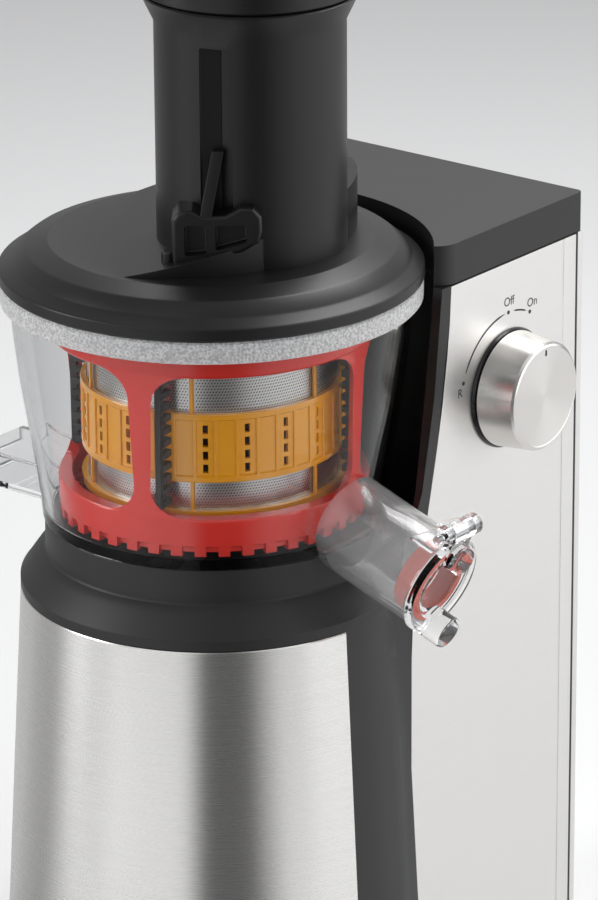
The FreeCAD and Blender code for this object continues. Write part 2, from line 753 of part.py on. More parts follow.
def dial_marks():
    """Printed dots and arcs of the dial as thin raised print."""
    plane = tower_half_width
    marks = []
    for angle in (0.0, -27.5, 72.0):
        y = knob_y - dial_radius * math.sin(math.radians(angle))
        z = knob_z + dial_radius * math.cos(math.radians(angle))
        marks.append(rod(Vector(plane, y, z), Vector(1, 0, 0), 0.7, dial_mark_thickness))
    band = rod(Vector(plane, knob_y, knob_z), Vector(1, 0, 0), dial_radius + 0.3, dial_mark_thickness)
    band = band.cut(rod(Vector(plane - 1, knob_y, knob_z), Vector(1, 0, 0), dial_radius - 0.3, 3))
    for start, end in ((5.0, 66.0), (-23.5, -5.5)):
        sector = [(knob_y, knob_z)]
        for step in range(9):
            angle = math.radians(start + (end - start) * step / 8)
            sector.append((knob_y - 40 * math.sin(angle), knob_z + 40 * math.cos(angle)))
        marks.append(band.common(side_prism(sector, plane - 0.1, plane + 1)))
    return Part.makeCompound(marks)


def safety_switch():
    """Microswitch under the top cover that feels the lid."""
    y = recess_upper_radius + housing_wall + gap
    body = box(-14, 14, y, y + 11, tower_top_z - 20, tower_top_z - 2)
    return body.fuse(box(-18, 18, y, y + 3, tower_top_z - 14, tower_top_z - 8)).removeSplitter()


# Juicing bowl
bowl_z0 = seat_deck_z
bowl_floor_z = bowl_z0 + bowl_floor_thickness
spout_direction = Vector(math.cos(math.radians(spout_tilt)), 0, -math.sin(math.radians(spout_tilt)))
spout_up = Vector(math.sin(math.radians(spout_tilt)), 0, math.cos(math.radians(spout_tilt)))
spout_start = Vector(spout_start_x, 0, spout_start_z)
spout_end = spout_start + spout_direction * spout_length
cap_hinge_rise = spout_radius + cap_overlap + cap_knuckle_radius + 2 * gap
cap_hinge = spout_end + spout_up * cap_hinge_rise + spout_direction * 1.5
bowl_outer = [(bowl_bottom_radius, bowl_z0 + 0.8), (bowl_bottom_radius + 0.7, bowl_z0 + 9.5),
              (bowl_bottom_radius + 3.5, bowl_z0 + 28.5), (bowl_top_radius - 2.8, bowl_z0 + 50.5),
              (bowl_top_radius - 0.6, bowl_z0 + 69.5),
              (bowl_top_radius, bowl_flange_z)]
planet_centre = gear_module * (bowl_sun_teeth + bowl_planet_teeth) / 2
planet_pin_radius = 2.5
gear_low_z = bowl_floor_z + 2.0
gear_high_z = gear_low_z + 6.0


def bowl_outside():
    """Outer form of the bowl, closed at the top."""
    return turned([(0, bowl_z0), (bowl_bottom_radius - 0.8, bowl_z0)] + bowl_outer +
                  [(bowl_flange_radius, bowl_flange_z), (bowl_flange_radius, lid_seat_z), (0, lid_seat_z)])


def spout_opening():
    """Bore of the spout, kept above the bowl's floor."""
    bore = rod(spout_start - spout_direction * 3, spout_direction, spout_bore, spout_length + 4)
    return bore.cut(cyl(bowl_bottom_radius + 2.2, pulp_bottom_z - 50, bowl_floor_z))


def pulp_hole(z0, z1):
    """Opening through which the pulp falls from the strainer into the duct."""
    return box(pulp_hole_x, pulp_hole_x + pulp_hole_depth, pulp_hole_y, pulp_hole_y + pulp_hole_width, z0, z1)


def juice_bowl():
    """Clear wall of the bowl with its flange."""
    inner_profile = [(r - bowl_wall, z) for r, z in bowl_outer if z > bowl_floor_z]
    inside = turned([(0, bowl_floor_z), (bowl_bottom_radius - bowl_wall, bowl_floor_z)] + inner_profile +
                    [(bowl_top_radius - bowl_wall, lid_seat_z + 1), (0, lid_seat_z + 1)])
    body = bowl_outside().cut(inside).cut(spout_opening())
    return body.cut(cyl(bowl_bottom_radius - bowl_wall, bowl_z0 - 1, bowl_floor_z + 1)).removeSplitter()


def bowl_floor():
    """Clear floor of the bowl with its hub, the pins of the planet gears and the hole for the pulp."""
    bore = output_shaft_radius - 1.2
    floor = ring(bowl_bottom_radius - bowl_wall, bore, bowl_z0, bowl_floor_z)
    hub = ring(bore + 3.8, bore, bowl_z0, bowl_floor_z + 1.6)
    pins = [cyl(planet_pin_radius, bowl_floor_z - 1, gear_high_z - 1, 0, side * planet_centre) for side in (-1, 1)]
    return floor.fuse([hub] + pins).cut(pulp_hole(bowl_z0 - 1, bowl_floor_z + 1)).removeSplitter()


def juice_spout():
    """Clear spout welded to the bowl's wall, with the two ears of the cap's hinge."""
    tube = rod(spout_start, spout_direction, spout_radius, spout_length)
    ears = []
    for side in (-1, 1):
        ear = rod(cap_hinge + Vector(0, side * 8 - 2, 0), Vector(0, 1, 0), cap_knuckle_radius, 4.0)
        foot = Part.makeBox(8, 4, cap_hinge_rise - spout_radius + 3, Vector(-9.5, side * 8 - 2, spout_radius - 3))
        foot.rotate(Vector(0, 0, 0), Vector(0, 1, 0), spout_tilt)
        foot.translate(spout_end)
        ears.append(ear.fuse(foot))
    body = tube.fuse(ears).cut(bowl_outside()).cut(spout_opening())
    body = body.cut(cyl(bowl_bottom_radius, pulp_bottom_z - 50, bowl_z0 + 1))
    return body.cut(rod(cap_hinge - Vector(0, 20, 0), Vector(0, 1, 0), cap_pin_radius, 40)).removeSplitter()


def pulp_outlet():
    """Clear duct welded under the bowl's floor, open where the pulp falls in and at its left end."""
    duct = box(pulp_end_x, pulp_inner_x, pulp_front_y, pulp_rear_y, pulp_bottom_z, bowl_floor_z)
    inside = box(pulp_end_x - 1, pulp_inner_x - pulp_wall, pulp_front_y + pulp_wall, pulp_rear_y - pulp_wall,
                 pulp_bottom_z + pulp_wall, bowl_floor_z - pulp_wall)
    return duct.cut(bowl_outside()).cut(inside).removeSplitter()


def spout_cap():
    """Clear flap that closes the spout, with a thumb lobe and hinge knuckle."""
    disc = rod(spout_end + spout_direction * gap, spout_direction, spout_radius + cap_overlap, cap_thickness)
    knuckle = rod(cap_hinge + Vector(0, -5.6, 0), Vector(0, 1, 0), cap_knuckle_radius, 11.2)
    web = Part.makeBox(cap_thickness, 11.2, cap_hinge_rise, Vector(gap, -5.6, 0))
    lobe = Part.makeBox(10, 16, 3, Vector(gap + 1, -8, -spout_radius - 1.5))
    plug = Part.makeCone(11.4, 10.6, plug_length, Vector(gap + 0.5, 0, 0), Vector(-1, 0, 0))
    local = web.fuse([lobe, plug])
    local.rotate(Vector(0, 0, 0), Vector(0, 1, 0), spout_tilt)
    local.translate(spout_end)
    cap = joined([disc, knuckle, local])
    return cap.cut(rod(cap_hinge - Vector(0, 20, 0), Vector(0, 1, 0), cap_pin_radius + run_fit, 40))


def spout_seal():
    """Silicone ring on the plug of the spout cap."""
    outer = Part.makeCone(spout_bore - 0.15, spout_bore - 1.4, plug_length - 0.5, Vector(0, 0, 0), Vector(-1, 0, 0))
    inner = Part.makeCone(11.4 + seat_gap, 10.6 + seat_gap, plug_length, Vector(0.5 + gap, 0, 0), Vector(-1, 0, 0))
    seal = outer.cut(inner)
    seal.rotate(Vector(0, 0, 0), Vector(0, 1, 0), spout_tilt)
    seal.translate(spout_end)
    return seal


def spout_hinge_pin():
    return rod(cap_hinge - Vector(0, 10, 0), Vector(0, 1, 0), cap_pin_radius, 20)


# Gears in the bowl, wiper, strainer and auger
def planet_gear(side):
    y = side * planet_centre
    direction = 90.0 * side
    sun_offset = (direction - 0.0) * bowl_sun_teeth / 360.0
    gear_phase = direction + 180.0 + (sun_offset + 0.5) * 360.0 / bowl_planet_teeth
    gear = spur(bowl_planet_teeth, gear_low_z, gear_high_z, 0, y, gear_phase)
    return gear.cut(cyl(planet_pin_radius + run_fit, 0, 300, 0, y))


def ring_cutter():
    """Tooth spaces of the internal ring gear on the wiper."""
    outline = involute_outline(bowl_ring_teeth, 1.0 * gear_module, 0.75 * gear_module, -gear_backlash)
    cutter = prism(outline, gear_low_z - 1, gear_high_z + 1)
    planet_phase = 90.0 + 180.0 + ((90.0 - 0.0) * bowl_sun_teeth / 360.0 + 0.5) * 360.0 / bowl_planet_teeth
    planet_offset = (90.0 - planet_phase) * bowl_planet_teeth / 360.0
    cutter.rotate(Vector(0, 0, 0), Vector(0, 0, 1), 90.0 - planet_offset * 360.0 / bowl_ring_teeth)
    return cutter


def rib_solid(azimuth, half_width, inner_low, outer_low, inner_high, outer_high, z0, z1):
    """Upright rib that leans outwards, as a ruled solid between two flat sections."""
    loops = []
    for z, ri, ro in ((z0, inner_low, outer_low), (z1, inner_high, outer_high)):
        corners = [Vector(-half_width, -ro, z), Vector(half_width, -ro, z), Vector(half_width, -ri, z),
                   Vector(-half_width, -ri, z)]
        loops.append(Part.makePolygon(corners + corners[:1]))
    return turned_copy(Part.makeLoft(loops, True, True), azimuth)


def wiper_frame():
    low = ring(wiper_ring_radius, wiper_ring_inner, wiper_ring_z, wiper_ring_top_z)
    gear_band = ring(wiper_ring_radius, 45.0, gear_low_z, gear_high_z).cut(ring_cutter())
    gear_band = gear_band.cut(cyl(gear_module * bowl_ring_teeth / 2 - 0.9, 0, 300))
    top = ring(wiper_top_radius, wiper_top_radius - 3.0, wiper_top_low_z, wiper_top_z)
    ribs = []
    for quarter in range(4):
        azimuth = wiper_rib_azimuth + 90 * quarter
        ribs.append(rib_solid(azimuth, wiper_rib_width / 2, wiper_ring_inner + 1.4, wiper_ring_radius - 0.2,
                              wiper_top_radius - 3.2, wiper_top_radius - 0.4, wiper_ring_top_z - 1,
                              wiper_top_low_z + 1))
    teeth = []
    for index in range(wiper_rim_teeth):
        tooth = box(-2.0, 2.0, -wiper_ring_radius + 0.1, -wiper_ring_radius + 3.0, bowl_floor_z + 0.8,
                    wiper_ring_z + 1)
        teeth.append(turned_copy(tooth, index * 360.0 / wiper_rim_teeth))
    return low.fuse([gear_band, top] + ribs + teeth).removeSplitter()


def wiper_blades():
    """Silicone combs that wipe the outside of the strainer."""
    blades = []
    for quarter in range(4):
        azimuth = wiper_rib_azimuth + 90 * quarter
        blade = rib_solid(azimuth, 1.2, strainer_radius + gap, wiper_ring_inner + 1.4 - seat_gap,
                          strainer_radius + gap, wiper_top_radius - 3.2 - 2 * seat_gap, wiper_ring_top_z + 1,
                          wiper_top_low_z - 0.5)
        notches = []
        z = wiper_ring_top_z + 5
        while z < wiper_top_low_z - 4:
            notches.append(turned_copy(box(-4, 4, -strainer_radius - 3.2, -strainer_radius, z, z + 1.5), azimuth))
            z += 4.2
        blades.append(blade.cut(notches[0].fuse(notches[1:])))
    return Part.makeCompound(blades)


def strainer_basket():
    """Amber plastic basket: ribs, middle band with its slots, and rims."""
    r = strainer_radius
    inner = r - strainer_wall
    low_rim = ring(r, inner, strainer_floor_z, strainer_floor_z + strainer_rim_height)
    band = ring(r, inner, amber_low_z, amber_high_z)
    top_rim = ring(r, inner, strainer_top_z - 4, strainer_top_z)
    posts = []
    for index in range(strainer_posts):
        post = box(-2.5, 2.5, -r + 0.3, -inner - 0.3, strainer_floor_z + 1, strainer_top_z - 1)
        post = post.cut(cyl(inner, strainer_floor_z, strainer_top_z))
        posts.append(turned_copy(post, (index + 0.5) * 360 / strainer_posts))
    slots = []
    for index in range(amber_slot_columns):
        for row in range(amber_slot_rows):
            z = amber_low_z + 4 + row * amber_slot_pitch
            slot = box(-amber_slot_width / 2, amber_slot_width / 2, -r - 1, -inner + 1, z, z + amber_slot_height)
            slots.append(turned_copy(slot, (index + 0.5) * 360 / amber_slot_columns))
    band = band.cut(slots[0].fuse(slots[1:]))
    return joined([low_rim, band, top_rim] + posts)


def strainer_floor():
    """Amber floor inside the lower rim, with its skirt, its two legs and the hole for the pulp."""
    disc = ring(strainer_radius - strainer_wall, 13.6, strainer_floor_z, strainer_floor_z + strainer_floor_thickness)
    skirt = ring(16.6, 14.6, gear_high_z + 0.5, strainer_floor_z + 1)
    legs = [cyl(3.5, bowl_floor_z + seat_gap, strainer_floor_z + 1, side * 24.5, side * -20.0) for side in (-1, 1)]
    floor = disc.fuse([skirt] + legs)
    return floor.cut(pulp_hole(strainer_floor_z - 1, strainer_floor_z + strainer_floor_thickness + 1)).removeSplitter()


def strainer_mesh(z0, z1):
    r = strainer_radius - strainer_wall - seat_gap
    return ring(r, r - mesh_thickness, z0, z1)


def auger():
    z0 = strainer_floor_z + 2 + auger_floor_gap
    z1 = strainer_top_z + 2.0
    core = Part.makeCone(auger_core_bottom, auger_core_top, z1 - z0, Vector(0, 0, z0))
    flight_low = z0 + 1.0
    height = z1 - z0 - auger_blade - 4
    helix = Part.makeHelix(auger_pitch, height, auger_radius)
    helix.translate(Vector(0, 0, flight_low))
    inner = 12.0
    profile = Part.makePolygon([Vector(inner, 0, flight_low), Vector(auger_radius, 0, flight_low),
                                Vector(auger_radius, 0, flight_low + auger_blade - 2),
                                Vector(inner, 0, flight_low + auger_blade), Vector(inner, 0, flight_low)])
    sweep = Part.BRepOffsetAPI.MakePipeShell(Part.Wire(helix.Edges))
    sweep.setFrenetMode(True)
    sweep.add(Part.Wire(profile.Edges))
    sweep.build()
    sweep.makeSolid()
    flight = sweep.shape()
    body = core.fuse(flight)
    pin = cyl(auger_pin_radius, z1 - 1, lid_plateau_z - lid_wall - 3)
    sun = spur(bowl_sun_teeth, gear_low_z, strainer_floor_z - 2.3)
    neck = cyl(10.6, gear_low_z, z0 + 1)
    body = body.fuse([pin, sun, neck])
    flats = output_hex_flats / 2 + 0.2
    corner = flats / math.cos(math.radians(30))
    hexagon = [(corner * math.cos(math.radians(60 * i)), corner * math.sin(math.radians(60 * i))) for i in range(6)]
    body = body.cut(prism(hexagon, gear_low_z - 1, shaft_top_z + 1))
    return body.removeSplitter()


# Lid, pusher
def ramp_top_cutter():
    """Everything above the slanted top of the ramp on the lid."""
    direction = Vector(math.cos(math.radians(ramp_azimuth)), math.sin(math.radians(ramp_azimuth)), 0)
    tilt = math.degrees(math.atan(ramp_slope))
    block = Part.makeBox(400, 400, 100, Vector(-200, -200, 0))
    across = Vector(0, 0, 1).cross(direction)
    block.rotate(Vector(0, 0, 0), across, -tilt)
    block.translate(Vector(ramp_start_x, ramp_start_y, lid_plateau_z))
    return block


def lid():
    z0 = lid_seat_z
    rim_top = z0 + lid_rim_height
    outer = [(0, z0), (lid_radius - 0.6, z0), (lid_radius, z0 + 0.6), (lid_radius, rim_top - 0.8),
             (lid_radius - 0.8, rim_top), (70.5, rim_top + 3.6), (65.5, rim_top + 6.6),
             (lid_plateau_radius + 1.6, lid_plateau_z - 0.8), (lid_plateau_radius - 1.5, lid_plateau_z),
             (0, lid_plateau_z)]
    body = turned(outer)
    ramp = cyl(ramp_radius, lid_plateau_z - 1, lid_plateau_z + 40, ramp_centre_x, ramp_centre_y)
    ramp = ramp.common(cyl(lid_plateau_radius - 1.6, 0, 400)).cut(ramp_top_cutter())
    chute = cyl(chute_radius, lid_plateau_z - 5, chute_top_z, chute_x, chute_y)
    hopper = Part.makeCone(chute_radius, hopper_radius, hopper_height,
                           Vector(chute_x, chute_y, chute_top_z - hopper_height))
    body = body.fuse([ramp, chute, hopper])
    under = turned([(0, z0 - 1), (lid_radius - 8.0, z0 - 1), (lid_radius - 8.0, rim_top - 0.2),
                    (lid_plateau_radius - 1.0, lid_plateau_z - lid_wall), (0, lid_plateau_z - lid_wall)])
    body = body.cut(under)
    skirt_outer = bowl_top_radius - bowl_wall - gap
    skirt = ring(skirt_outer, skirt_outer - 2.2, z0 - lid_skirt_drop, rim_top + 0.5)
    top_web = ring(skirt_outer + 4, skirt_outer - 2.2, z0, rim_top + 0.5)
    bush = ring(auger_pin_radius + run_fit + 3, auger_pin_radius + run_fit, lid_plateau_z - lid_wall - 8,
                lid_plateau_z - lid_wall + 0.5)
    body = body.fuse([skirt, top_web])
    body = body.cut(cyl(chute_bore, 250, 420, chute_x, chute_y))
    funnel = Part.makeCone(chute_bore, hopper_radius - 2.5, hopper_height + 0.1,
                           Vector(chute_x, chute_y, chute_top_z - hopper_height))
    body = body.cut(funnel)
    arm = box(-48, 8, -4, 4, lid_plateau_z - lid_wall - 6, lid_plateau_z - lid_wall + 0.5)
    arm = arm.cut(cyl(auger_pin_radius + run_fit, 0, 400))
    return body.fuse([bush, arm]).removeSplitter()


def pusher():
    r = chute_bore - gap
    z1 = chute_top_z + gap
    body = turned([(0, pusher_bottom_z), (r - 1.5, pusher_bottom_z), (r, pusher_bottom_z + 1.5), (r, z1 - hopper_height - 2),
                   (hopper_radius - 8, z1), (hopper_radius, z1), (hopper_radius, z1 + pusher_head_height - 2),
                   (hopper_radius - 2, z1 + pusher_head_height), (17, z1 + pusher_head_height),
                   (15, z1 + pusher_head_height + 3), (16.5, z1 + pusher_head_height + pusher_grip_height - 5),
                   (13, z1 + pusher_head_height + pusher_grip_height), (0, z1 + pusher_head_height + pusher_grip_height)],
                  chute_x, chute_y)
    hollow = turned([(0, pusher_bottom_z + pusher_wall), (r - pusher_wall, pusher_bottom_z + pusher_wall),
                     (r - pusher_wall, z1 - hopper_height - 4), (0, z1 - hopper_height - 4)], chute_x, chute_y)
    return body.cut(hollow)


node("base_plate", base_plate())
node("rubber_feet", rubber_feet())
node("base_screws", base_screws())
node("main_housing", joined([main_housing()] + rear_cover_lugs()))
node("drum_cladding", drum_cladding())
node("side_panel_right", side_panel(1))
node("side_panel_left", side_panel(-1))
node("rear_cover", rear_cover())
node("rear_cover_screws", rear_cover_screws())
node("cord_gland", cord_gland())
node("tower_cover", tower_cover())
node("bowl_seat", bowl_seat())
node("seat_neck", seat_neck())
node("gearbox_posts", gearbox_posts_node())
node("gearbox_case", gearbox_case())
node("gearbox_lid", gearbox_lid())
node("motor_can", motor_can())
node("motor_bridge", motor_bridge())
node("motor_bearings", motor_bearings())
node("stator_core", stator_core())
node("stator_coils", stator_coils())
node("rotor_core", rotor_core())
node("motor_shaft", motor_shaft())
node("motor_pinion", motor_pinion())
node("cooling_fan", cooling_fan())
node("idler_shaft", idler_shaft())
node("idler_gear", idler_gear())
node("output_gear", output_gear())
node("output_shaft", output_shaft())
node("output_bearings", output_bearings())
node("output_seal", output_seal())
node("control_board", control_board())
node("board_standoffs", board_standoffs())
node("safety_switch", safety_switch())
knob_parts()
node("dial_marks", dial_marks())
node("juice_bowl", juice_bowl())
node("bowl_floor", bowl_floor())
node("juice_spout", juice_spout())
node("pulp_outlet", pulp_outlet())
node("spout_cap", spout_cap())
node("spout_seal", spout_seal())
node("spout_hinge_pin", spout_hinge_pin())
node("planet_gear_front", planet_gear(-1))
node("planet_gear_rear", planet_gear(1))
node("wiper_frame", wiper_frame())
node("wiper_blades", wiper_blades())
node("strainer_basket", strainer_basket())
node("strainer_floor", strainer_floor())
node("strainer_mesh_lower", strainer_mesh(strainer_floor_z + 2.0, amber_low_z + mesh_lap))
node("strainer_mesh_upper", strainer_mesh(amber_high_z - mesh_lap, strainer_top_z - 1.0))
node("auger", auger())
node("lid", lid())
node("pusher", pusher())

for name, shape in NODES.items():
    print(name, shape.isValid(), len(shape.Solids), round(shape.Volume))
    shape.exportStep("parts/" + name + ".step")
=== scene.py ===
"""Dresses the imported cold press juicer: finishes, moulded shells, clear bowl, wiper, lid, knob and studio."""
import json
import logging
import math
from dataclasses import dataclass, field
from enum import Enum
from typing import Callable, Iterable, Optional, Sequence

import bpy
from mathutils import Matrix, Vector


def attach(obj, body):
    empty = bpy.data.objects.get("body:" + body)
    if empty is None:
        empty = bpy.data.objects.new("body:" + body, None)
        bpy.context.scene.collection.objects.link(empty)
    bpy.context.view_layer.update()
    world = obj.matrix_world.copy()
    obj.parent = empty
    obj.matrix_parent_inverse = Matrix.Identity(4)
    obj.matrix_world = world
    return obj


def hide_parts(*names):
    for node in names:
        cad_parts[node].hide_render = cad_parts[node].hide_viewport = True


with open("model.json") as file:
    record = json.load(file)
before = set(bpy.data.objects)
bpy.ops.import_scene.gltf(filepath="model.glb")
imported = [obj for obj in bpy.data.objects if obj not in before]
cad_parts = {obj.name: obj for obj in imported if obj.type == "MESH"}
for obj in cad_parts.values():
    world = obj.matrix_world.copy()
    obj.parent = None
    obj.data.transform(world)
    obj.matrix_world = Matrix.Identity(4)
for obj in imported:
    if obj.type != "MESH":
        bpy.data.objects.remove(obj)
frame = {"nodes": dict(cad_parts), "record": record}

LOG = logging.getLogger("juicer")
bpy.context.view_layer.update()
MM = 0.001
QUARTER_TURN = 0.25
Point = tuple[float, float, float]


class Axis(Enum):
    """Directions that a turned piece can have, as its axis and the direction of its radius."""

    UP = ((0.0, 0.0, 1.0), (1.0, 0.0, 0.0))
    SIDE = ((1.0, 0.0, 0.0), (0.0, 0.0, 1.0))
    SPOUT = ((math.cos(math.radians(19)), 0.0, -math.sin(math.radians(19))),
             (math.sin(math.radians(19)), 0.0, math.cos(math.radians(19))))
    HINGE = ((0.0, 1.0, 0.0), (0.0, 0.0, 1.0))


class Body(Enum):
    """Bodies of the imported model."""

    BASE = "base"
    KNOB = "knob"
    BOWL = "bowl"
    CAP = "cap"
    WIPER = "wiper"
    AUGER = "auger_body"
    LID = "lid_body"
    PUSHER = "pusher_body"


# Shared modelling steps

def mm(*values: float) -> Vector:
    """Vector in metres from millimetres."""
    return Vector(values) * MM


def deselect() -> None:
    """Deselect every object."""
    bpy.ops.object.select_all(action="DESELECT")


def activate(piece: bpy.types.Object) -> None:
    """Make one object the only selected and active one."""
    deselect()
    piece.select_set(True)
    bpy.context.view_layer.objects.active = piece


def apply_place(piece: bpy.types.Object) -> None:
    """Move the object's place into its mesh."""
    activate(piece)
    bpy.ops.object.transform_apply(location=True, rotation=True, scale=True)


def smooth(piece: bpy.types.Object, degrees: float = 32.0) -> None:
    """Shade smooth, with creases kept sharp and flat faces kept flat."""
    activate(piece)
    bpy.ops.object.shade_smooth_by_angle(angle=math.radians(degrees))
    bpy.ops.object.modifier_add(type="WEIGHTED_NORMAL")
    piece.modifiers[-1].keep_sharp = True
    bpy.ops.object.modifier_apply(modifier=piece.modifiers[-1].name)


def arc(cx: float, cy: float, radius: float, start: float, end: float, steps: int = 5) -> list[tuple[float, float]]:
    """Points along an arc, for a profile.

    Args:
        cx: centre's first coordinate.
        cy: centre's second coordinate.
        radius: radius in millimetres.
        start: first angle in degrees.
        end: last angle in degrees.
        steps: number of chords.

    Returns:
        The points as pairs.
    """
    points = []
    for step in range(steps + 1):
        angle = math.radians(start + (end - start) * step / steps)
        points.append((cx + radius * math.cos(angle), cy + radius * math.sin(angle)))
    return points


def pick_edges(piece: bpy.types.Object, wanted: Callable[[Vector, Vector], bool]) -> None:
    """Enter edit mode with only the edges selected whose two ends pass a test."""
    activate(piece)
    bpy.context.tool_settings.mesh_select_mode = (False, True, False)
    bpy.ops.object.mode_set(mode="EDIT")
    bpy.ops.mesh.select_all(action="DESELECT")
    bpy.ops.object.mode_set(mode="OBJECT")
    corners = piece.data.vertices
    for edge in piece.data.edges:
        edge.select = wanted(*(corners[i].co for i in edge.vertices))
    bpy.ops.object.mode_set(mode="EDIT")


def wire(name: str, points: Sequence[Vector]) -> bpy.types.Object:
    """Draw a line of edges by extruding one vertex from point to point.

    Args:
        name: the object's name.
        points: the corners in metres.

    Returns:
        The new object, left in edit mode with all selected.
    """
    deselect()
    bpy.ops.mesh.primitive_plane_add(size=0.01, location=points[0])
    piece = bpy.context.active_object
    piece.name = name
    apply_place(piece)
    bpy.context.tool_settings.mesh_select_mode = (True, False, False)
    bpy.ops.object.mode_set(mode="EDIT")
    bpy.ops.mesh.select_all(action="SELECT")
    bpy.ops.mesh.merge(type="CENTER")
    for before, after in zip(points, points[1:]):
        bpy.ops.mesh.extrude_vertices_move(TRANSFORM_OT_translate={"value": after - before})
    bpy.ops.mesh.select_all(action="SELECT")
    return piece


def turned(name: str, profile: Sequence[tuple[float, float]], axis: Axis = Axis.UP, origin: Vector = Vector(),
           steps: int = 128, sweep: float = 360.0, start: float = 0.0, closed: bool = True) -> bpy.types.Object:
    """Spin a profile of radius and height pairs, in millimetres, about an axis.

    Args:
        name: the object's name.
        profile: radius and height pairs round the section.
        axis: the axis to spin about.
        origin: a point on the axis, in metres.
        steps: faces round the turn.
        sweep: the angle turned, in degrees.
        start: the angle where the turn starts, in degrees.
        closed: whether the section's end joins its start.

    Returns:
        The turned object.
    """
    along = Vector(axis.value[0])
    outward = Matrix.Rotation(math.radians(start), 3, along) @ Vector(axis.value[1])
    corners = [origin + outward * (r * MM) + along * (h * MM) for r, h in profile]
    if closed:
        corners.append(corners[0])
    piece = wire(name, corners)
    bpy.ops.mesh.remove_doubles(threshold=1e-6)
    bpy.ops.mesh.select_all(action="SELECT")
    bpy.ops.mesh.spin(steps=steps, angle=-math.radians(sweep), center=origin, axis=along)
    bpy.ops.mesh.select_all(action="SELECT")
    bpy.ops.mesh.remove_doubles(threshold=2e-6)
    if sweep < 360:
        bpy.ops.mesh.select_all(action="DESELECT")
        bpy.ops.mesh.select_non_manifold()
        bpy.ops.mesh.fill_holes(sides=0)
    bpy.ops.mesh.select_all(action="SELECT")
    bpy.ops.mesh.normals_make_consistent(inside=False)
    bpy.ops.object.mode_set(mode="OBJECT")
    return piece


def slab(name: str, outline: Sequence[Vector], depth: Vector) -> bpy.types.Object:
    """Fill a flat outline and extrude it into a plate.

    Args:
        name: the object's name.
        outline: the corners in metres.
        depth: the way and distance to extrude, in metres.

    Returns:
        The plate.
    """
    piece = wire(name, outline)
    bpy.ops.mesh.edge_face_add()
    bpy.ops.mesh.extrude_region_move(TRANSFORM_OT_translate={"value": depth})
    bpy.ops.mesh.select_all(action="SELECT")
    bpy.ops.mesh.normals_make_consistent(inside=False)
    bpy.ops.object.mode_set(mode="OBJECT")
    return piece


def block(name: str, low: Vector, high: Vector) -> bpy.types.Object:
    """Box between two corners in metres, as a start for further shaping."""
    deselect()
    bpy.ops.mesh.primitive_cube_add(size=1, location=(low + high) / 2)
    piece = bpy.context.active_object
    piece.name = name
    piece.scale = high - low
    apply_place(piece)
    return piece


def rod(name: str, start: Vector, end: Vector, radius: float, sides: int = 48) -> bpy.types.Object:
    """Round rod between two points in metres, with its radius in millimetres."""
    deselect()
    way = end - start
    bpy.ops.mesh.primitive_cylinder_add(vertices=sides, radius=radius * MM, depth=way.length,
                                        location=(start + end) / 2)
    piece = bpy.context.active_object
    piece.name = name
    piece.rotation_euler = way.to_track_quat("Z", "Y").to_euler()
    apply_place(piece)
    return piece


def bevel(piece: bpy.types.Object, width: float, segments: int = 3, degrees: float = 30.0) -> None:
    """Round the sharp edges of a piece by a width in millimetres."""
    activate(piece)
    bpy.ops.object.modifier_add(type="BEVEL")
    modifier = piece.modifiers[-1]
    modifier.width = width * MM
    modifier.segments = segments
    modifier.limit_method = "ANGLE"
    modifier.angle_limit = math.radians(degrees)
    modifier.harden_normals = False
    bpy.ops.object.modifier_apply(modifier=modifier.name)


def combine(piece: bpy.types.Object, other: bpy.types.Object, operation: str = "DIFFERENCE") -> None:
    """Apply a boolean with another object and remove that object."""
    activate(piece)
    bpy.ops.object.modifier_add(type="BOOLEAN")
    modifier = piece.modifiers[-1]
    modifier.object = other
    modifier.operation = operation
    modifier.solver = "EXACT"
    bpy.ops.object.modifier_apply(modifier=modifier.name)
    deselect()
    other.select_set(True)
    bpy.ops.object.delete()


def join(pieces: Sequence[bpy.types.Object], name: str) -> bpy.types.Object:
    """Join several objects into one."""
    activate(pieces[0])
    for piece in pieces[1:]:
        piece.select_set(True)
    bpy.ops.object.join()
    pieces[0].name = name
    return pieces[0]


def ring_of(piece: bpy.types.Object, count: int, name: str, sweep: float = 360.0) -> bpy.types.Object:
    """Copy a piece round the upright axis and join the copies.

    Args:
        piece: the first piece.
        count: how many pieces there are in all.
        name: the joined object's name.
        sweep: the angle that the copies share, in degrees.

    Returns:
        The joined object.
    """
    pieces = [piece]
    for index in range(1, count):
        copy = piece.copy()
        copy.data = piece.data.copy()
        bpy.context.scene.collection.objects.link(copy)
        copy.data.transform(Matrix.Rotation(math.radians(sweep * index / count), 4, "Z"))
        pieces.append(copy)
    return join(pieces, name)


def turn(piece: bpy.types.Object, degrees: float, centre: Vector = Vector(), axis: str = "Z") -> None:
    """Turn a piece's mesh about a point."""
    move = Matrix.Translation(centre)
    piece.data.transform(move @ Matrix.Rotation(math.radians(degrees), 4, axis) @ move.inverted())


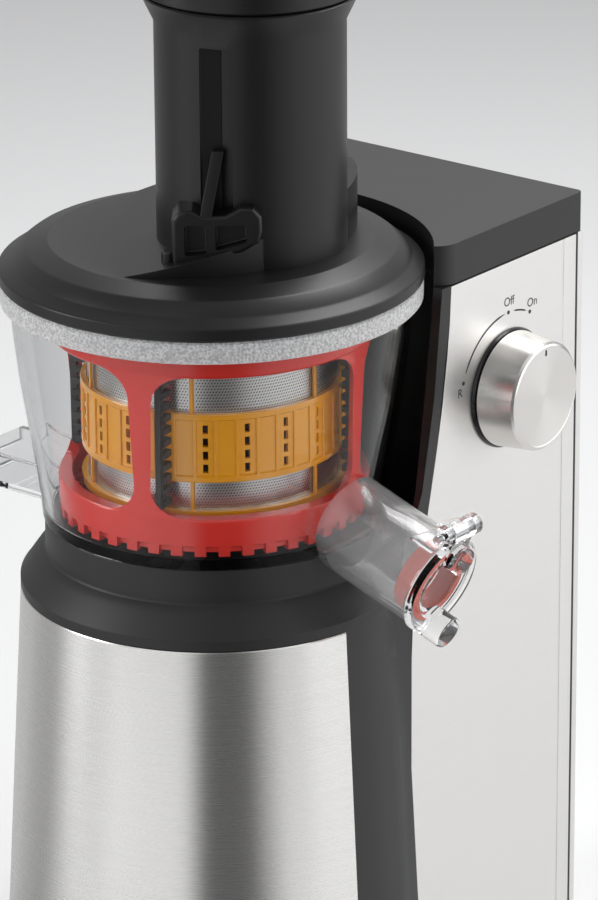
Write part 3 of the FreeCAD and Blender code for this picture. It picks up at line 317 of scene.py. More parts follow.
def softened_copy(node: str, name: str, width: float, flat: float = 3.0) -> bpy.types.Object:
    """Copy a CAD node, join its loose triangles and round its edges.

    Args:
        node: the CAD node to copy.
        name: the new object's name.
        width: the width of the rounding in millimetres.
        flat: the angle under which faces count as flat, in degrees.

    Returns:
        The rounded copy.
    """
    source = frame["nodes"][node]
    piece = source.copy()
    piece.data = source.data.copy()
    piece.name = name
    piece.parent = None
    for key in list(piece.keys()):
        del piece[key]
    bpy.context.scene.collection.objects.link(piece)
    piece.hide_render = False
    activate(piece)
    bpy.ops.mesh.customdata_custom_splitnormals_clear()
    bpy.ops.object.mode_set(mode="EDIT")
    bpy.ops.mesh.select_all(action="SELECT")
    bpy.ops.mesh.remove_doubles(threshold=1e-6)
    bpy.ops.mesh.dissolve_limited(angle_limit=math.radians(flat))
    bpy.ops.object.mode_set(mode="OBJECT")
    bevel(piece, width, 2, 28)
    smooth(piece, 30)
    return piece


def place(piece: bpy.types.Object, body: Body, material: bpy.types.Material,
          replaced: Sequence[str] = ()) -> bpy.types.Object:
    """Give a finished piece its material and body, and hide the CAD nodes that it replaces.

    Args:
        piece: the finished piece.
        body: the body that it rides.
        material: its finish.
        replaced: CAD nodes that it replaces.

    Returns:
        The same piece.
    """
    piece.data.materials.clear()
    piece.data.materials.append(material)
    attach(piece, body.value)
    if replaced:
        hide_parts(*replaced)
    LOG.info("%s: %d faces", piece.name, len(piece.data.polygons))
    return piece


# Shader groups

def new_group(name: str, inputs: dict[str, tuple[str, object]], outputs: dict[str, str]) -> bpy.types.ShaderNodeTree:
    """Start a shader node group with named sockets.

    Args:
        name: the group's name.
        inputs: socket name to its type and default.
        outputs: socket name to its type.

    Returns:
        The group with its input and output nodes.
    """
    tree = bpy.data.node_groups.new(name, "ShaderNodeTree")
    for label, (kind, default) in inputs.items():
        socket = tree.interface.new_socket(name=label, in_out="INPUT", socket_type=kind)
        socket.default_value = default
    for label, kind in outputs.items():
        tree.interface.new_socket(name=label, in_out="OUTPUT", socket_type=kind)
    tree.nodes.new("NodeGroupInput")
    tree.nodes.new("NodeGroupOutput")
    return tree


def math_node(tree: bpy.types.NodeTree, operation: str, first: object, second: object = 0.0) -> object:
    """Add a Math node and return its output socket."""
    node = tree.nodes.new("ShaderNodeMath")
    node.operation = operation
    for index, value in enumerate((first, second)):
        if isinstance(value, (int, float)):
            node.inputs[index].default_value = value
        else:
            tree.links.new(value, node.inputs[index])
    return node.outputs[0]


def grain_group() -> bpy.types.ShaderNodeTree:
    """Moulded grain: a fine texture in roughness and height, with slow smudges."""
    tree = new_group("moulded_grain",
                     {"Scale": ("NodeSocketFloat", 900.0), "Roughness": ("NodeSocketFloat", 0.4),
                      "Spread": ("NodeSocketFloat", 0.08)},
                     {"Roughness": "NodeSocketFloat", "Height": "NodeSocketFloat"})
    source = tree.nodes["Group Input"]
    target = tree.nodes["Group Output"]
    place_node = tree.nodes.new("ShaderNodeTexCoord")
    fine = tree.nodes.new("ShaderNodeTexNoise")
    fine.inputs["Detail"].default_value = 3.0
    slow = tree.nodes.new("ShaderNodeTexNoise")
    slow.inputs["Scale"].default_value = 18.0
    slow.inputs["Detail"].default_value = 4.0
    tree.links.new(place_node.outputs["Object"], fine.inputs["Vector"])
    tree.links.new(place_node.outputs["Object"], slow.inputs["Vector"])
    tree.links.new(source.outputs["Scale"], fine.inputs["Scale"])
    change = math_node(tree, "SUBTRACT", slow.outputs["Fac"], 0.5)
    spread = math_node(tree, "MULTIPLY", change, source.outputs["Spread"])
    rough = math_node(tree, "ADD", source.outputs["Roughness"], spread)
    tree.links.new(rough, target.inputs["Roughness"])
    tree.links.new(fine.outputs["Fac"], target.inputs["Height"])
    return tree


def brushed_group() -> bpy.types.ShaderNodeTree:
    """Brushed lines: noise stretched along the brushing direction by a mapping scale."""
    tree = new_group("brushed_lines",
                     {"Vector": ("NodeSocketVector", (0.0, 0.0, 0.0)), "Roughness": ("NodeSocketFloat", 0.28),
                      "Spread": ("NodeSocketFloat", 0.12), "Tone": ("NodeSocketColor", (0.7, 0.7, 0.7, 1.0)),
                      "Contrast": ("NodeSocketFloat", 0.12)},
                     {"Roughness": "NodeSocketFloat", "Height": "NodeSocketFloat", "Color": "NodeSocketColor"})
    source = tree.nodes["Group Input"]
    target = tree.nodes["Group Output"]
    lines = tree.nodes.new("ShaderNodeTexNoise")
    lines.inputs["Scale"].default_value = 1.0
    lines.inputs["Detail"].default_value = 5.0
    lines.inputs["Roughness"].default_value = 0.65
    tree.links.new(source.outputs["Vector"], lines.inputs["Vector"])
    change = math_node(tree, "SUBTRACT", lines.outputs["Fac"], 0.5)
    spread = math_node(tree, "MULTIPLY", change, source.outputs["Spread"])
    rough = math_node(tree, "ADD", source.outputs["Roughness"], spread)
    tone = math_node(tree, "MULTIPLY", change, source.outputs["Contrast"])
    value = math_node(tree, "ADD", tone, 1.0)
    scaled = tree.nodes.new("ShaderNodeVectorMath")
    scaled.operation = "SCALE"
    tree.links.new(source.outputs["Tone"], scaled.inputs[0])
    tree.links.new(value, scaled.inputs["Scale"])
    tree.links.new(scaled.outputs[0], target.inputs["Color"])
    tree.links.new(rough, target.inputs["Roughness"])
    tree.links.new(lines.outputs["Fac"], target.inputs["Height"])
    return tree


def studio_group() -> bpy.types.ShaderNodeTree:
    """Brightness of the studio by compass direction, with a dark band towards the camera: it sets the world light and
    the painted reflection bands in the floor's colour.
    """
    tree = new_group("studio_tone", {"Vector": ("NodeSocketVector", (0.0, 0.0, 0.0))}, {"Value": "NodeSocketFloat"})
    split = tree.nodes.new("ShaderNodeSeparateXYZ")
    tree.links.new(tree.nodes["Group Input"].outputs["Vector"], split.inputs[0])
    angle = math_node(tree, "ARCTAN2", split.outputs["Y"], split.outputs["X"])
    part = math_node(tree, "ADD", math_node(tree, "DIVIDE", angle, 2 * math.pi), 0.5)
    ramp = tree.nodes.new("ShaderNodeValToRGB")
    tree.links.new(part, ramp.inputs[0])
    ramp.color_ramp.elements.remove(ramp.color_ramp.elements[0])
    for index, (degrees, value) in enumerate(STUDIO_TONES):
        stops = ramp.color_ramp.elements
        stop = stops[0] if index == 0 else stops.new(0.5)
        stop.position = (degrees + 180) / 360
        stop.color = (value, value, value, 1)
    tree.links.new(ramp.outputs["Color"], tree.nodes["Group Output"].inputs["Value"])
    return tree


STUDIO_TONES = ((-180, 0.5), (-150, 0.3), (-125, 0.55), (-105, 1.0), (-68, 1.0), (-57, 0.1), (-34, 0.12), (-16, 0.8),
                (4, 1.0), (115, 1.0), (158, 0.7), (180, 0.5))
STUDIO = studio_group()
GRAIN = grain_group()
BRUSHED = brushed_group()


def base_material(name: str) -> tuple[bpy.types.Material, bpy.types.Node]:
    """New node material and its Principled shader."""
    material = bpy.data.materials.new(name)
    material.use_nodes = True
    return material, material.node_tree.nodes["Principled BSDF"]


def add_bump(tree: bpy.types.NodeTree, height: object, shader: bpy.types.Node, distance: float,
             strength: float) -> None:
    """Feed a height into the shader's normal."""
    bump = tree.nodes.new("ShaderNodeBump")
    bump.inputs["Distance"].default_value = distance
    bump.inputs["Strength"].default_value = strength
    tree.links.new(height, bump.inputs["Height"])
    tree.links.new(bump.outputs["Normal"], shader.inputs["Normal"])


@dataclass(frozen=True)
class Moulded:
    """Moulded plastic or rubber with a fine grain."""

    name: str
    colour: tuple[float, float, float]
    roughness: float
    grain: float = 900.0
    depth: float = 0.00004
    strength: float = 0.25
    coat: float = 0.0
    transmission: float = 0.0
    spread: float = 0.08
    specular: float = 0.5
    painted_glint_speckle: float = 0.0

    def build(self) -> bpy.types.Material:
        """Make the material."""
        material, shader = base_material(self.name)
        tree = material.node_tree
        shader.inputs["Base Color"].default_value = (*self.colour, 1)
        shader.inputs["Specular IOR Level"].default_value = self.specular
        shader.inputs["Coat Weight"].default_value = self.coat
        shader.inputs["Coat Roughness"].default_value = 0.08
        shader.inputs["Transmission Weight"].default_value = self.transmission
        group = tree.nodes.new("ShaderNodeGroup")
        group.node_tree = GRAIN
        group.inputs["Scale"].default_value = self.grain
        group.inputs["Roughness"].default_value = self.roughness
        group.inputs["Spread"].default_value = self.spread
        tree.links.new(group.outputs["Roughness"], shader.inputs["Roughness"])
        add_bump(tree, group.outputs["Height"], shader, self.depth, self.strength)
        # Random bright and dark specks in the colour, following the grain: painted glints.
        if self.painted_glint_speckle:
            tone = tree.nodes.new("ShaderNodeMix")
            tone.data_type = "RGBA"
            tone.inputs["A"].default_value = (*(c * (1 - self.painted_glint_speckle) for c in self.colour), 1)
            tone.inputs["B"].default_value = (*(min(1, c * (1 + self.painted_glint_speckle)) for c in self.colour), 1)
            spread = math_node(tree, "MULTIPLY", math_node(tree, "SUBTRACT", group.outputs["Height"], 0.38), 4.0)
            tree.links.new(spread, tone.inputs["Factor"])
            tree.links.new(tone.outputs["Result"], shader.inputs["Base Color"])
        return material


@dataclass(frozen=True)
class BrushedMetal:
    """Metal brushed along one direction; stretch is the noise scale along X, Y and Z."""

    name: str
    colour: tuple[float, float, float]
    roughness: float
    stretch: tuple[float, float, float]
    tangent_axis: str = "Z"
    anisotropy: float = 0.7
    contrast: float = 0.10
    spread: float = 0.10
    strength: float = 0.12

    def build(self) -> bpy.types.Material:
        """Make the material."""
        material, shader = base_material(self.name)
        tree = material.node_tree
        shader.inputs["Metallic"].default_value = 1.0
        shader.inputs["Anisotropic"].default_value = self.anisotropy
        shader.inputs["Anisotropic Rotation"].default_value = QUARTER_TURN
        coordinates = tree.nodes.new("ShaderNodeTexCoord")
        mapping = tree.nodes.new("ShaderNodeMapping")
        mapping.inputs["Scale"].default_value = self.stretch
        tree.links.new(coordinates.outputs["Object"], mapping.inputs["Vector"])
        tangent = tree.nodes.new("ShaderNodeTangent")
        tangent.direction_type = "RADIAL"
        tangent.axis = self.tangent_axis
        tree.links.new(tangent.outputs["Tangent"], shader.inputs["Tangent"])
        group = tree.nodes.new("ShaderNodeGroup")
        group.node_tree = BRUSHED
        group.inputs["Roughness"].default_value = self.roughness
        group.inputs["Spread"].default_value = self.spread
        group.inputs["Tone"].default_value = (*self.colour, 1)
        group.inputs["Contrast"].default_value = self.contrast
        tree.links.new(mapping.outputs["Vector"], group.inputs["Vector"])
        tree.links.new(group.outputs["Color"], shader.inputs["Base Color"])
        tree.links.new(group.outputs["Roughness"], shader.inputs["Roughness"])
        add_bump(tree, group.outputs["Height"], shader, 0.00003, self.strength)
        return material


@dataclass(frozen=True)
class SpunMetal:
    """Metal face turned on a lathe: fine rings about an axis along X."""

    name: str
    colour: tuple[float, float, float]
    roughness: float
    centre: tuple[float, float, float]

    def build(self) -> bpy.types.Material:
        """Make the material."""
        material, shader = base_material(self.name)
        tree = material.node_tree
        shader.inputs["Metallic"].default_value = 1.0
        shader.inputs["Anisotropic"].default_value = 0.8
        shader.inputs["Anisotropic Rotation"].default_value = QUARTER_TURN
        coordinates = tree.nodes.new("ShaderNodeTexCoord")
        mapping = tree.nodes.new("ShaderNodeMapping")
        mapping.inputs["Location"].default_value = tuple(-v for v in self.centre)
        tree.links.new(coordinates.outputs["Object"], mapping.inputs["Vector"])
        split = tree.nodes.new("ShaderNodeSeparateXYZ")
        tree.links.new(mapping.outputs["Vector"], split.inputs[0])
        across = math_node(tree, "MULTIPLY", split.outputs["Y"], split.outputs["Y"])
        up = math_node(tree, "MULTIPLY", split.outputs["Z"], split.outputs["Z"])
        radius = math_node(tree, "SQRT", math_node(tree, "ADD", across, up))
        rings = tree.nodes.new("ShaderNodeCombineXYZ")
        tree.links.new(math_node(tree, "MULTIPLY", radius, 5200.0), rings.inputs[0])
        tree.links.new(math_node(tree, "MULTIPLY", split.outputs["X"], 5200.0), rings.inputs[1])
        group = tree.nodes.new("ShaderNodeGroup")
        group.node_tree = BRUSHED
        group.inputs["Roughness"].default_value = self.roughness
        group.inputs["Tone"].default_value = (*self.colour, 1)
        group.inputs["Contrast"].default_value = 0.14
        tree.links.new(rings.outputs[0], group.inputs["Vector"])
        tangent = tree.nodes.new("ShaderNodeCombineXYZ")
        tree.links.new(math_node(tree, "MULTIPLY", split.outputs["Z"], -1.0), tangent.inputs[1])
        tree.links.new(split.outputs["Y"], tangent.inputs[2])
        tree.links.new(tangent.outputs[0], shader.inputs["Tangent"])
        tree.links.new(group.outputs["Color"], shader.inputs["Base Color"])
        tree.links.new(group.outputs["Roughness"], shader.inputs["Roughness"])
        add_bump(tree, group.outputs["Height"], shader, 0.00003, 0.15)
        return material


@dataclass(frozen=True)
class Clear:
    """Clear or tinted see-through plastic."""

    name: str
    colour: tuple[float, float, float]
    roughness: float
    index: float = 1.45
    grain: float = 60.0
    strength: float = 0.03
    depth: float = 0.0002
    painted_sheen_haze: float = 0.0

    def build(self) -> bpy.types.Material:
        """Make the material."""
        material, shader = base_material(self.name)
        tree = material.node_tree
        shader.inputs["Base Color"].default_value = (*self.colour, 1)
        # Haze cuts the transmission so that the near-white base colour shows: a painted sheen that brightens the
        # piece.
        shader.inputs["Transmission Weight"].default_value = 1.0 - self.painted_sheen_haze
        shader.inputs["IOR"].default_value = self.index
        group = tree.nodes.new("ShaderNodeGroup")
        group.node_tree = GRAIN
        group.inputs["Scale"].default_value = self.grain
        group.inputs["Roughness"].default_value = self.roughness
        group.inputs["Spread"].default_value = self.roughness
        tree.links.new(group.outputs["Roughness"], shader.inputs["Roughness"])
        add_bump(tree, group.outputs["Height"], shader, self.depth, self.strength)
        return material


KNOB_CENTRE = (0.0671, 0.0852, 0.2474)
FINISHES: dict[str, bpy.types.Material] = {finish.name: finish.build() for finish in (
    Moulded("black_plastic", (0.018, 0.018, 0.019), 0.46, grain=2600.0, depth=0.00008, strength=0.5, specular=0.5),
    Moulded("lid_plastic", (0.009, 0.009, 0.010), 0.36, grain=1900.0, depth=0.00005, strength=0.3, specular=0.45),
    BrushedMetal("brushed_steel", (0.84, 0.83, 0.81), 0.27, (10.0, 10.0, 3600.0)),
    BrushedMetal("panel_steel", (0.86, 0.85, 0.83), 0.33, (10.0, 12.0, 3600.0), anisotropy=0.5, contrast=0.08),
    SpunMetal("knob_metal", (0.84, 0.82, 0.79), 0.25, KNOB_CENTRE),
    Clear("clear_plastic", (0.98, 0.985, 0.99), 0.012, index=1.25),
    # Hazier copy of the clear plastic: painted sheen standing in for the soft box reflections on the spout.
    Clear("spout_plastic", (0.97, 0.975, 0.98), 0.02, index=1.5, painted_sheen_haze=0.14),
    # Frosted ring: its coarse bumps are texture, and its near-white speckled colour is painted sheen and glints for
    # the flange's sparkle.
    Moulded("frosted_plastic", (0.97, 0.97, 0.98), 0.30, grain=1100.0, depth=0.0005, strength=0.9,
            transmission=0.15, spread=0.2, painted_glint_speckle=0.4),
    Moulded("red_plastic", (0.92, 0.032, 0.018), 0.24, grain=500.0, coat=0.25, transmission=0.12),
    Moulded("amber_plastic", (1.0, 0.43, 0.015), 0.16, grain=400.0, coat=0.5, transmission=0.12),
    BrushedMetal("mesh_steel", (0.66, 0.65, 0.63), 0.30, (10.0, 10.0, 2500.0), anisotropy=0.2),
    Moulded("orange_silicone", (0.86, 0.075, 0.012), 0.42, grain=700.0, transmission=0.1),
    Moulded("black_silicone", (0.02, 0.018, 0.018), 0.5),
    Moulded("foot_rubber", (0.022, 0.022, 0.022), 0.7),
    Moulded("auger_plastic", (0.035, 0.03, 0.03), 0.32, coat=0.2),
    Moulded("print_ink", (0.03, 0.03, 0.032), 0.5),
    Moulded("bezel_plastic", (0.012, 0.012, 0.012), 0.2),
    BrushedMetal("zinc_steel", (0.62, 0.62, 0.62), 0.3, (600.0, 600.0, 600.0), anisotropy=0.0),
    Moulded("gear_plastic", (0.78, 0.76, 0.70), 0.45),
    BrushedMetal("case_aluminium", (0.60, 0.61, 0.62), 0.5, (900.0, 900.0, 900.0), anisotropy=0.0),
    BrushedMetal("core_steel", (0.20, 0.20, 0.21), 0.45, (10.0, 10.0, 2000.0), anisotropy=0.0),
    Moulded("copper_wire", (0.50, 0.17, 0.05), 0.35, grain=1500.0),
    Moulded("board_green", (0.02, 0.13, 0.05), 0.35),
    Moulded("switch_plastic", (0.05, 0.05, 0.055), 0.4),
)}


# Drum and tower

@dataclass
class BaseUnit:
    """Steel drum, bowl seat, tower shell, side panels and covers."""

    top_radius: float = 69.8
    flare: float = 0.0571
    flange_z: float = 184.8
    wrap_low: float = 16.0
    wrap_thickness: float = 0.8
    wrap_half_angle: float = 80.0
    seat_notch: tuple[float, float, float, float, float] = (-80.0, -20.5, -10.5, 18.5, 199.5)
    panel_x: float = 67.1
    panel_thickness: float = 1.0
    groove_y: float = 118.6

    def radius(self, z: float) -> float:
        """Drum radius at a height, in millimetres."""
        return self.top_radius + self.flare * (self.flange_z - z)

    def wrap(self) -> None:
        """Brushed steel sheet round the front of the drum, with hemmed edges."""
        low, high, wall = self.wrap_low, self.flange_z - 0.3, self.wrap_thickness
        profile = [(self.radius(low) - wall, low), (self.radius(low) - 0.3, low), (self.radius(low), low + 0.4),
                   (self.radius(high), high - 0.4), (self.radius(high) - 0.3, high), (self.radius(high) - wall, high)]
        sheet = turned("drum_wrap", profile, steps=96, sweep=2 * self.wrap_half_angle,
                       start=-90 - self.wrap_half_angle)
        smooth(sheet)
        place(sheet, Body.BASE, FINISHES["brushed_steel"], ["drum_cladding"])

    def seat(self) -> None:
        """Black cap of the drum: band, sloped shoulder and collar."""
        profile = [(14, 194.5), (55, 194.5), (61, 184.9)]
        profile += [(69.2, 184.9)] + arc(69.3, 185.4, 0.5, -90, 0, 2) + arc(68.7, 188.2, 1.1, 0, 60, 3)
        profile += [(64.4, 196.1)] + arc(62.6, 199.6, 2.0, -140, -180, 4)
        profile += arc(59.8, 210.7, 0.8, 0, 90, 3) + [(14, 211.5)]
        seat = turned("drum_cap", profile, steps=144)
        x0, x1, y0, y1, z0 = self.seat_notch
        combine(seat, block("notch", mm(x0, y0, z0), mm(x1, y1, 214)))
        smooth(seat)
        place(seat, Body.BASE, FINISHES["black_plastic"], ["bowl_seat", "seat_neck"])

    def panel_outline(self) -> list[tuple[float, float]]:
        """Front-leaning outline of a side panel as y and z pairs."""
        front = [(50.9, 294.6), (50.2, 282), (48.6, 268), (46.1, 252), (42.8, 236), (39.6, 222), (36.4, 209),
                 (33.0, 195), (30.4, 183), (28.7, 172), (28.1, 160), (28.1, 12.1)]
        return front + [(126.9, 12.1), (126.9, 294.6)]

    def panel(self, side: int) -> None:
        """Brushed side panel with a pressed groove near its rear edge."""
        name = "side_panel_right" if side > 0 else "side_panel_left"
        inner = side * (self.panel_x - self.panel_thickness)
        outline = [mm(inner, y, z) for y, z in self.panel_outline()]
        sheet = slab(name + "_sheet", outline, mm(side * self.panel_thickness, 0, 0))
        groove = block("groove", mm(side * self.panel_x - 0.35, self.groove_y, 0),
                       mm(side * self.panel_x + 0.35, self.groove_y + 0.9, 320))
        combine(sheet, groove)
        if side > 0:
            hole = rod("hole", mm(60, 85.2, 247.4), mm(80, 85.2, 247.4), 5.0)
            combine(sheet, hole)
        bevel(sheet, 0.3, 2)
        smooth(sheet)
        place(sheet, Body.BASE, FINISHES["panel_steel"], [name])

    def shells(self) -> None:
        """Shells from the CAD shapes with rounded edges: black moulded housing and base plate, and a steel rear cover.
        """
        housing = softened_copy("main_housing", "housing_moulding", 1.2)
        place(housing, Body.BASE, FINISHES["black_plastic"], ["main_housing"])
        plate = softened_copy("base_plate", "base_moulding", 0.5)
        place(plate, Body.BASE, FINISHES["black_plastic"], ["base_plate"])
        cover = softened_copy("rear_cover", "rear_panel", 0.4)
        place(cover, Body.BASE, FINISHES["panel_steel"], ["rear_cover"])

    def top_cover(self) -> None:
        """Black top cover of the tower with soft edges and a hollow for the lid."""
        cover = block("tower_top", mm(-self.panel_x, 44.5, 295.3), mm(self.panel_x, 131.0, 310.1))
        for offset, low, high in ((9.0, 0.0, 0.1), (2.2, 0.1, 0.2)):
            pick_edges(cover, lambda first, second: abs(first.z - second.z) > 0.01 and low < first.y < high)
            bpy.ops.mesh.bevel(offset=offset * MM, segments=8, affect="EDGES")
            bpy.ops.object.mode_set(mode="OBJECT")
        combine(cover, rod("hollow", mm(0, 0, 280), mm(0, 0, 330), 78.0, 160))
        bevel(cover, 1.8, 4, 40)
        smooth(cover, 40)
        place(cover, Body.BASE, FINISHES["black_plastic"], ["tower_cover"])

    def build(self) -> None:
        """Build the whole base."""
        self.wrap()
        self.seat()
        self.panel(1)
        self.panel(-1)
        self.shells()
        self.top_cover()


# Knob and dial

@dataclass
class Dial:
    """Rotary knob with its dark ring and printed marks."""

    centre: Point = KNOB_CENTRE
    plane: float = 67.1
    base_radius: float = 21.4
    face_radius: float = 19.8
    depth: float = 16.8
    mark_radius: float = 28.4
    text_size: float = 4.7

    def on_panel(self, radius: float, degrees: float, lift: float = 0.0) -> Vector:
        """Point on the panel at an angle from straight up, positive to the front."""
        angle = math.radians(degrees)
        return mm(self.plane + lift, 0, 0) + Vector(
            (0, self.centre[1] - radius * MM * math.sin(angle), self.centre[2] + radius * MM * math.cos(angle)))

    def knob(self) -> None:
        """Turned metal knob with a chamfered face edge and a shallow dish."""
        low = 1.5
        profile = [(0, 8), (18.4, 8), (18.4, low), (self.base_radius - 0.3, low), (self.base_radius, low + 0.4),
                   (self.face_radius + 0.2, self.depth - 1.1), (self.face_radius - 0.5, self.depth - 0.25),
                   (self.face_radius - 1.2, self.depth), (self.face_radius - 1.9, self.depth - 0.25),
                   (0, self.depth - 0.3)]
        knob = turned("knob_cap", profile, Axis.SIDE, Vector(self.centre), 128)
        smooth(knob, 24)
        place(knob, Body.KNOB, FINISHES["knob_metal"], ["control_knob"])
        x = self.plane + self.depth - 0.3
        pointer = block("pointer", mm(x - 0.1, 85.0, 262.7), mm(x + 0.12, 86.1, 264.9))
        bevel(pointer, 0.2, 2)
        place(pointer, Body.KNOB, FINISHES["print_ink"], ["knob_pointer"])

    def bezel(self) -> None:
        """Dark ring that the knob turns over."""
        profile = [(8, 0), (22.2, 0), (22.2, 0.5), (21.8, 1.2), (8, 1.2)]
        ring = turned("knob_ring", profile, Axis.SIDE, Vector(self.centre), 96)
        smooth(ring)
        place(ring, Body.BASE, FINISHES["bezel_plastic"], ["knob_bezel"])

    def word(self, text: str, radius: float, degrees: float) -> bpy.types.Object:
        """Printed word, as a thin mesh on the panel."""
        deselect()
        bpy.ops.object.text_add(location=self.on_panel(radius, degrees, 0.02))
        label = bpy.context.active_object
        label.data.body = text
        label.data.align_x = "CENTER"
        label.data.align_y = "CENTER"
        label.data.size = self.text_size * MM
        label.data.extrude = 0.04 * MM
        label.rotation_euler = (math.pi / 2, 0, math.pi / 2)
        activate(label)
        bpy.ops.object.convert(target="MESH")
        apply_place(bpy.context.active_object)
        return bpy.context.active_object

    def stroke(self, start: float, end: float) -> bpy.types.Object:
        """Printed arc between two angles, with tapered ends."""
        steps = max(6, int(abs(end - start) / 3))
        outer, inner = [], []
        for step in range(steps + 1):
            part = step / steps
            half = 0.32 * min(1.0, 0.35 + 6 * min(part, 1 - part))
            angle = start + (end - start) * part
            outer.append(self.on_panel(self.mark_radius + half, angle))
            inner.append(self.on_panel(self.mark_radius - half, angle))
        return slab("arc", outer + inner[::-1], mm(0.1, 0, 0))

    def marks(self) -> None:
        """Dots, arcs and words of the dial."""
        pieces = [self.stroke(5, 64), self.stroke(-7, -22)]
        for angle in (0.0, -27.5, 71.5):
            pieces.append(rod("dot", self.on_panel(self.mark_radius, angle, -0.05),
                              self.on_panel(self.mark_radius, angle, 0.1), 0.75, 24))
        pieces += [self.word("Off", 32.4, -0.6), self.word("On", 32.0, -27.0), self.word("R", 29.4, 79.0)]
        marks = join(pieces, "dial_print")
        place(marks, Body.BASE, FINISHES["print_ink"], ["dial_marks"])

    def build(self) -> None:
        """Build the knob, its ring and the dial."""
        self.knob()
        self.bezel()
        self.marks()


# Clear bowl with its outlets

@dataclass
class Bowl:
    """Clear juicing bowl with flange ring, juice spout, pulp outlet and hinge ears."""

    spout_start: Point = (57.4, 0.0, 221.3)
    spout_radius: float = 17.2
    spout_bore: float = 14.4
    spout_length: float = 44.0
    hinge_rise: float = 23.0
    duct: tuple[float, float, float, float, float, float] = (-107.0, -21.0, -10.0, 18.0, 200.0, 213.9)
    duct_wall: float = 2.2

    def axis_point(self, along: float, up: float = 0.0) -> Vector:
        """Point beside the spout's axis, in metres."""
        forward, upward = (Vector(v) for v in Axis.SPOUT.value)
        return mm(*self.spout_start) + forward * (along * MM) + upward * (up * MM)

    def shell(self) -> bpy.types.Object:
        """Turned shell of the bowl, with floor, wall and hub."""
        profile = [(7.9, 211.5), (60.4, 211.5)] + arc(60.5, 212.3, 0.8, -90, 0, 3)
        profile += [(62.0, 221), (64.8, 240), (68.2, 262), (70.4, 281), (71.0, 290.6)]
        profile += arc(72.0, 290.7, 1.0, 180, 90, 3) + [(74.0, 291.7), (74.5, 292.3), (74.6, 298.8), (74.0, 299.5)]
        profile += [(69.2, 299.5), (68.4, 298.8), (68.4, 291.5), (67.8, 281), (65.6, 262), (62.2, 240),
                    (59.4, 221), (58.8, 216.5)] + arc(56.6, 216.2, 2.2, 0, -90, 4)
        profile += [(11.7, 214.0), (11.7, 215.6), (7.9, 215.6)]
        return turned("bowl", profile, steps=144)

    def spout_tube(self) -> bpy.types.Object:
        """Outside of the spout, with a small chamfer at its mouth."""
        radius = self.spout_radius
        profile = [(0, 0), (radius, 0), (radius, self.spout_length - 0.6), (radius - 0.6, self.spout_length),
                   (0, self.spout_length)]
        tube = turned("spout", profile, Axis.SPOUT, mm(*self.spout_start), 72)
        combine(tube, rod("inside", mm(0, 0, 150), mm(0, 0, 290), 60.4, 144))
        return tube

    def build(self) -> None:
        """Build the bowl as one clear moulding."""
        bowl = self.shell()
        combine(bowl, self.spout_tube(), "UNION")
        x0, x1, y0, y1, z0, z1 = self.duct
        box = block("duct", mm(x0, y0, z0), mm(x1, y1, z1))
        bevel(box, 1.2, 2)
        combine(bowl, box, "UNION")
        bore = rod("bore", self.axis_point(-2.0), self.axis_point(self.spout_length + 3), self.spout_bore, 64)
        combine(bore, rod("sill", mm(0, 0, 150), mm(0, 0, 214.0), 63.5, 144))
        combine(bowl, bore)
        wall = self.duct_wall
        combine(bowl, block("duct_bore", mm(x0 - 2, y0 + wall, z0 + wall), mm(x1 - wall, y1 - wall, z1 - wall)))
        combine(bowl, block("pulp_hole", mm(-37, -6, 209), mm(-25, 8, 216)))
        smooth(bowl, 28)
        place(bowl, Body.BOWL, FINISHES["clear_plastic"],
              ["juice_bowl", "bowl_floor", "juice_spout", "pulp_outlet"])
        bowl.data.materials.append(FINISHES["frosted_plastic"])
        bowl.data.materials.append(FINISHES["spout_plastic"])
        for polygon in bowl.data.polygons:
            centre = polygon.center
            radius = math.hypot(centre.x, centre.y)
            if 0.2905 < centre.z < 0.2994 and radius > 0.0738:
                # The flange ring takes the frosted finish, whose near-white speckled colour is painted sheen and
                # glints.
                polygon.material_index = 1
            elif radius > 0.0655 and centre.z < 0.245:
                # The spout and the pulp duct take the hazier clear finish, a painted sheen.
                polygon.material_index = 2
        self.ears()
        self.seal()

    def ears(self) -> None:
        """Pair of hinge ears on top of the spout."""
        ears = []
        for side in (-1, 1):
            y0, y1 = sorted((side * 6.0, side * 9.6))
            centre = self.axis_point(self.spout_length + 1.5, self.hinge_rise)
            eye = rod("eye", centre + mm(0, y0, 0), centre + mm(0, y1, 0), 3.8, 32)
            outline = [self.axis_point(self.spout_length - 11, 15.5), self.axis_point(self.spout_length - 0.5, 15.5),
                       self.axis_point(self.spout_length + 3.6, 20.8), self.axis_point(self.spout_length - 1.6, 24.8)]
            leg = slab("leg", [p + mm(0, y0, 0) for p in outline], mm(0, y1 - y0, 0))
            combine(eye, leg, "UNION")
            bevel(eye, 0.5, 2, 40)
            ears.append(eye)
        pair = join(ears, "spout_ears")
        smooth(pair)
        place(pair, Body.BOWL, FINISHES["clear_plastic"])
        pin = frame["nodes"]["spout_hinge_pin"]
        pin.data.materials[0] = FINISHES["zinc_steel"]

    def seal(self) -> None:
        """Orange silicone ring on the cap's plug, seen through the spout."""
        length = self.spout_length
        profile = [(11.5, length + 0.2), (11.5, length - 7.4), (12.9, length - 7.6), (13.3, length - 7.0),
                   (13.6, length - 5.2), (14.0, length - 4.8), (13.8, length - 4.2), (14.2, length - 1.0),
                   (14.2, length + 0.2)]
        ring = turned("seal_ring", profile, Axis.SPOUT, mm(*self.spout_start), 64)
        smooth(ring)
        place(ring, Body.CAP, FINISHES["orange_silicone"], ["spout_seal"])


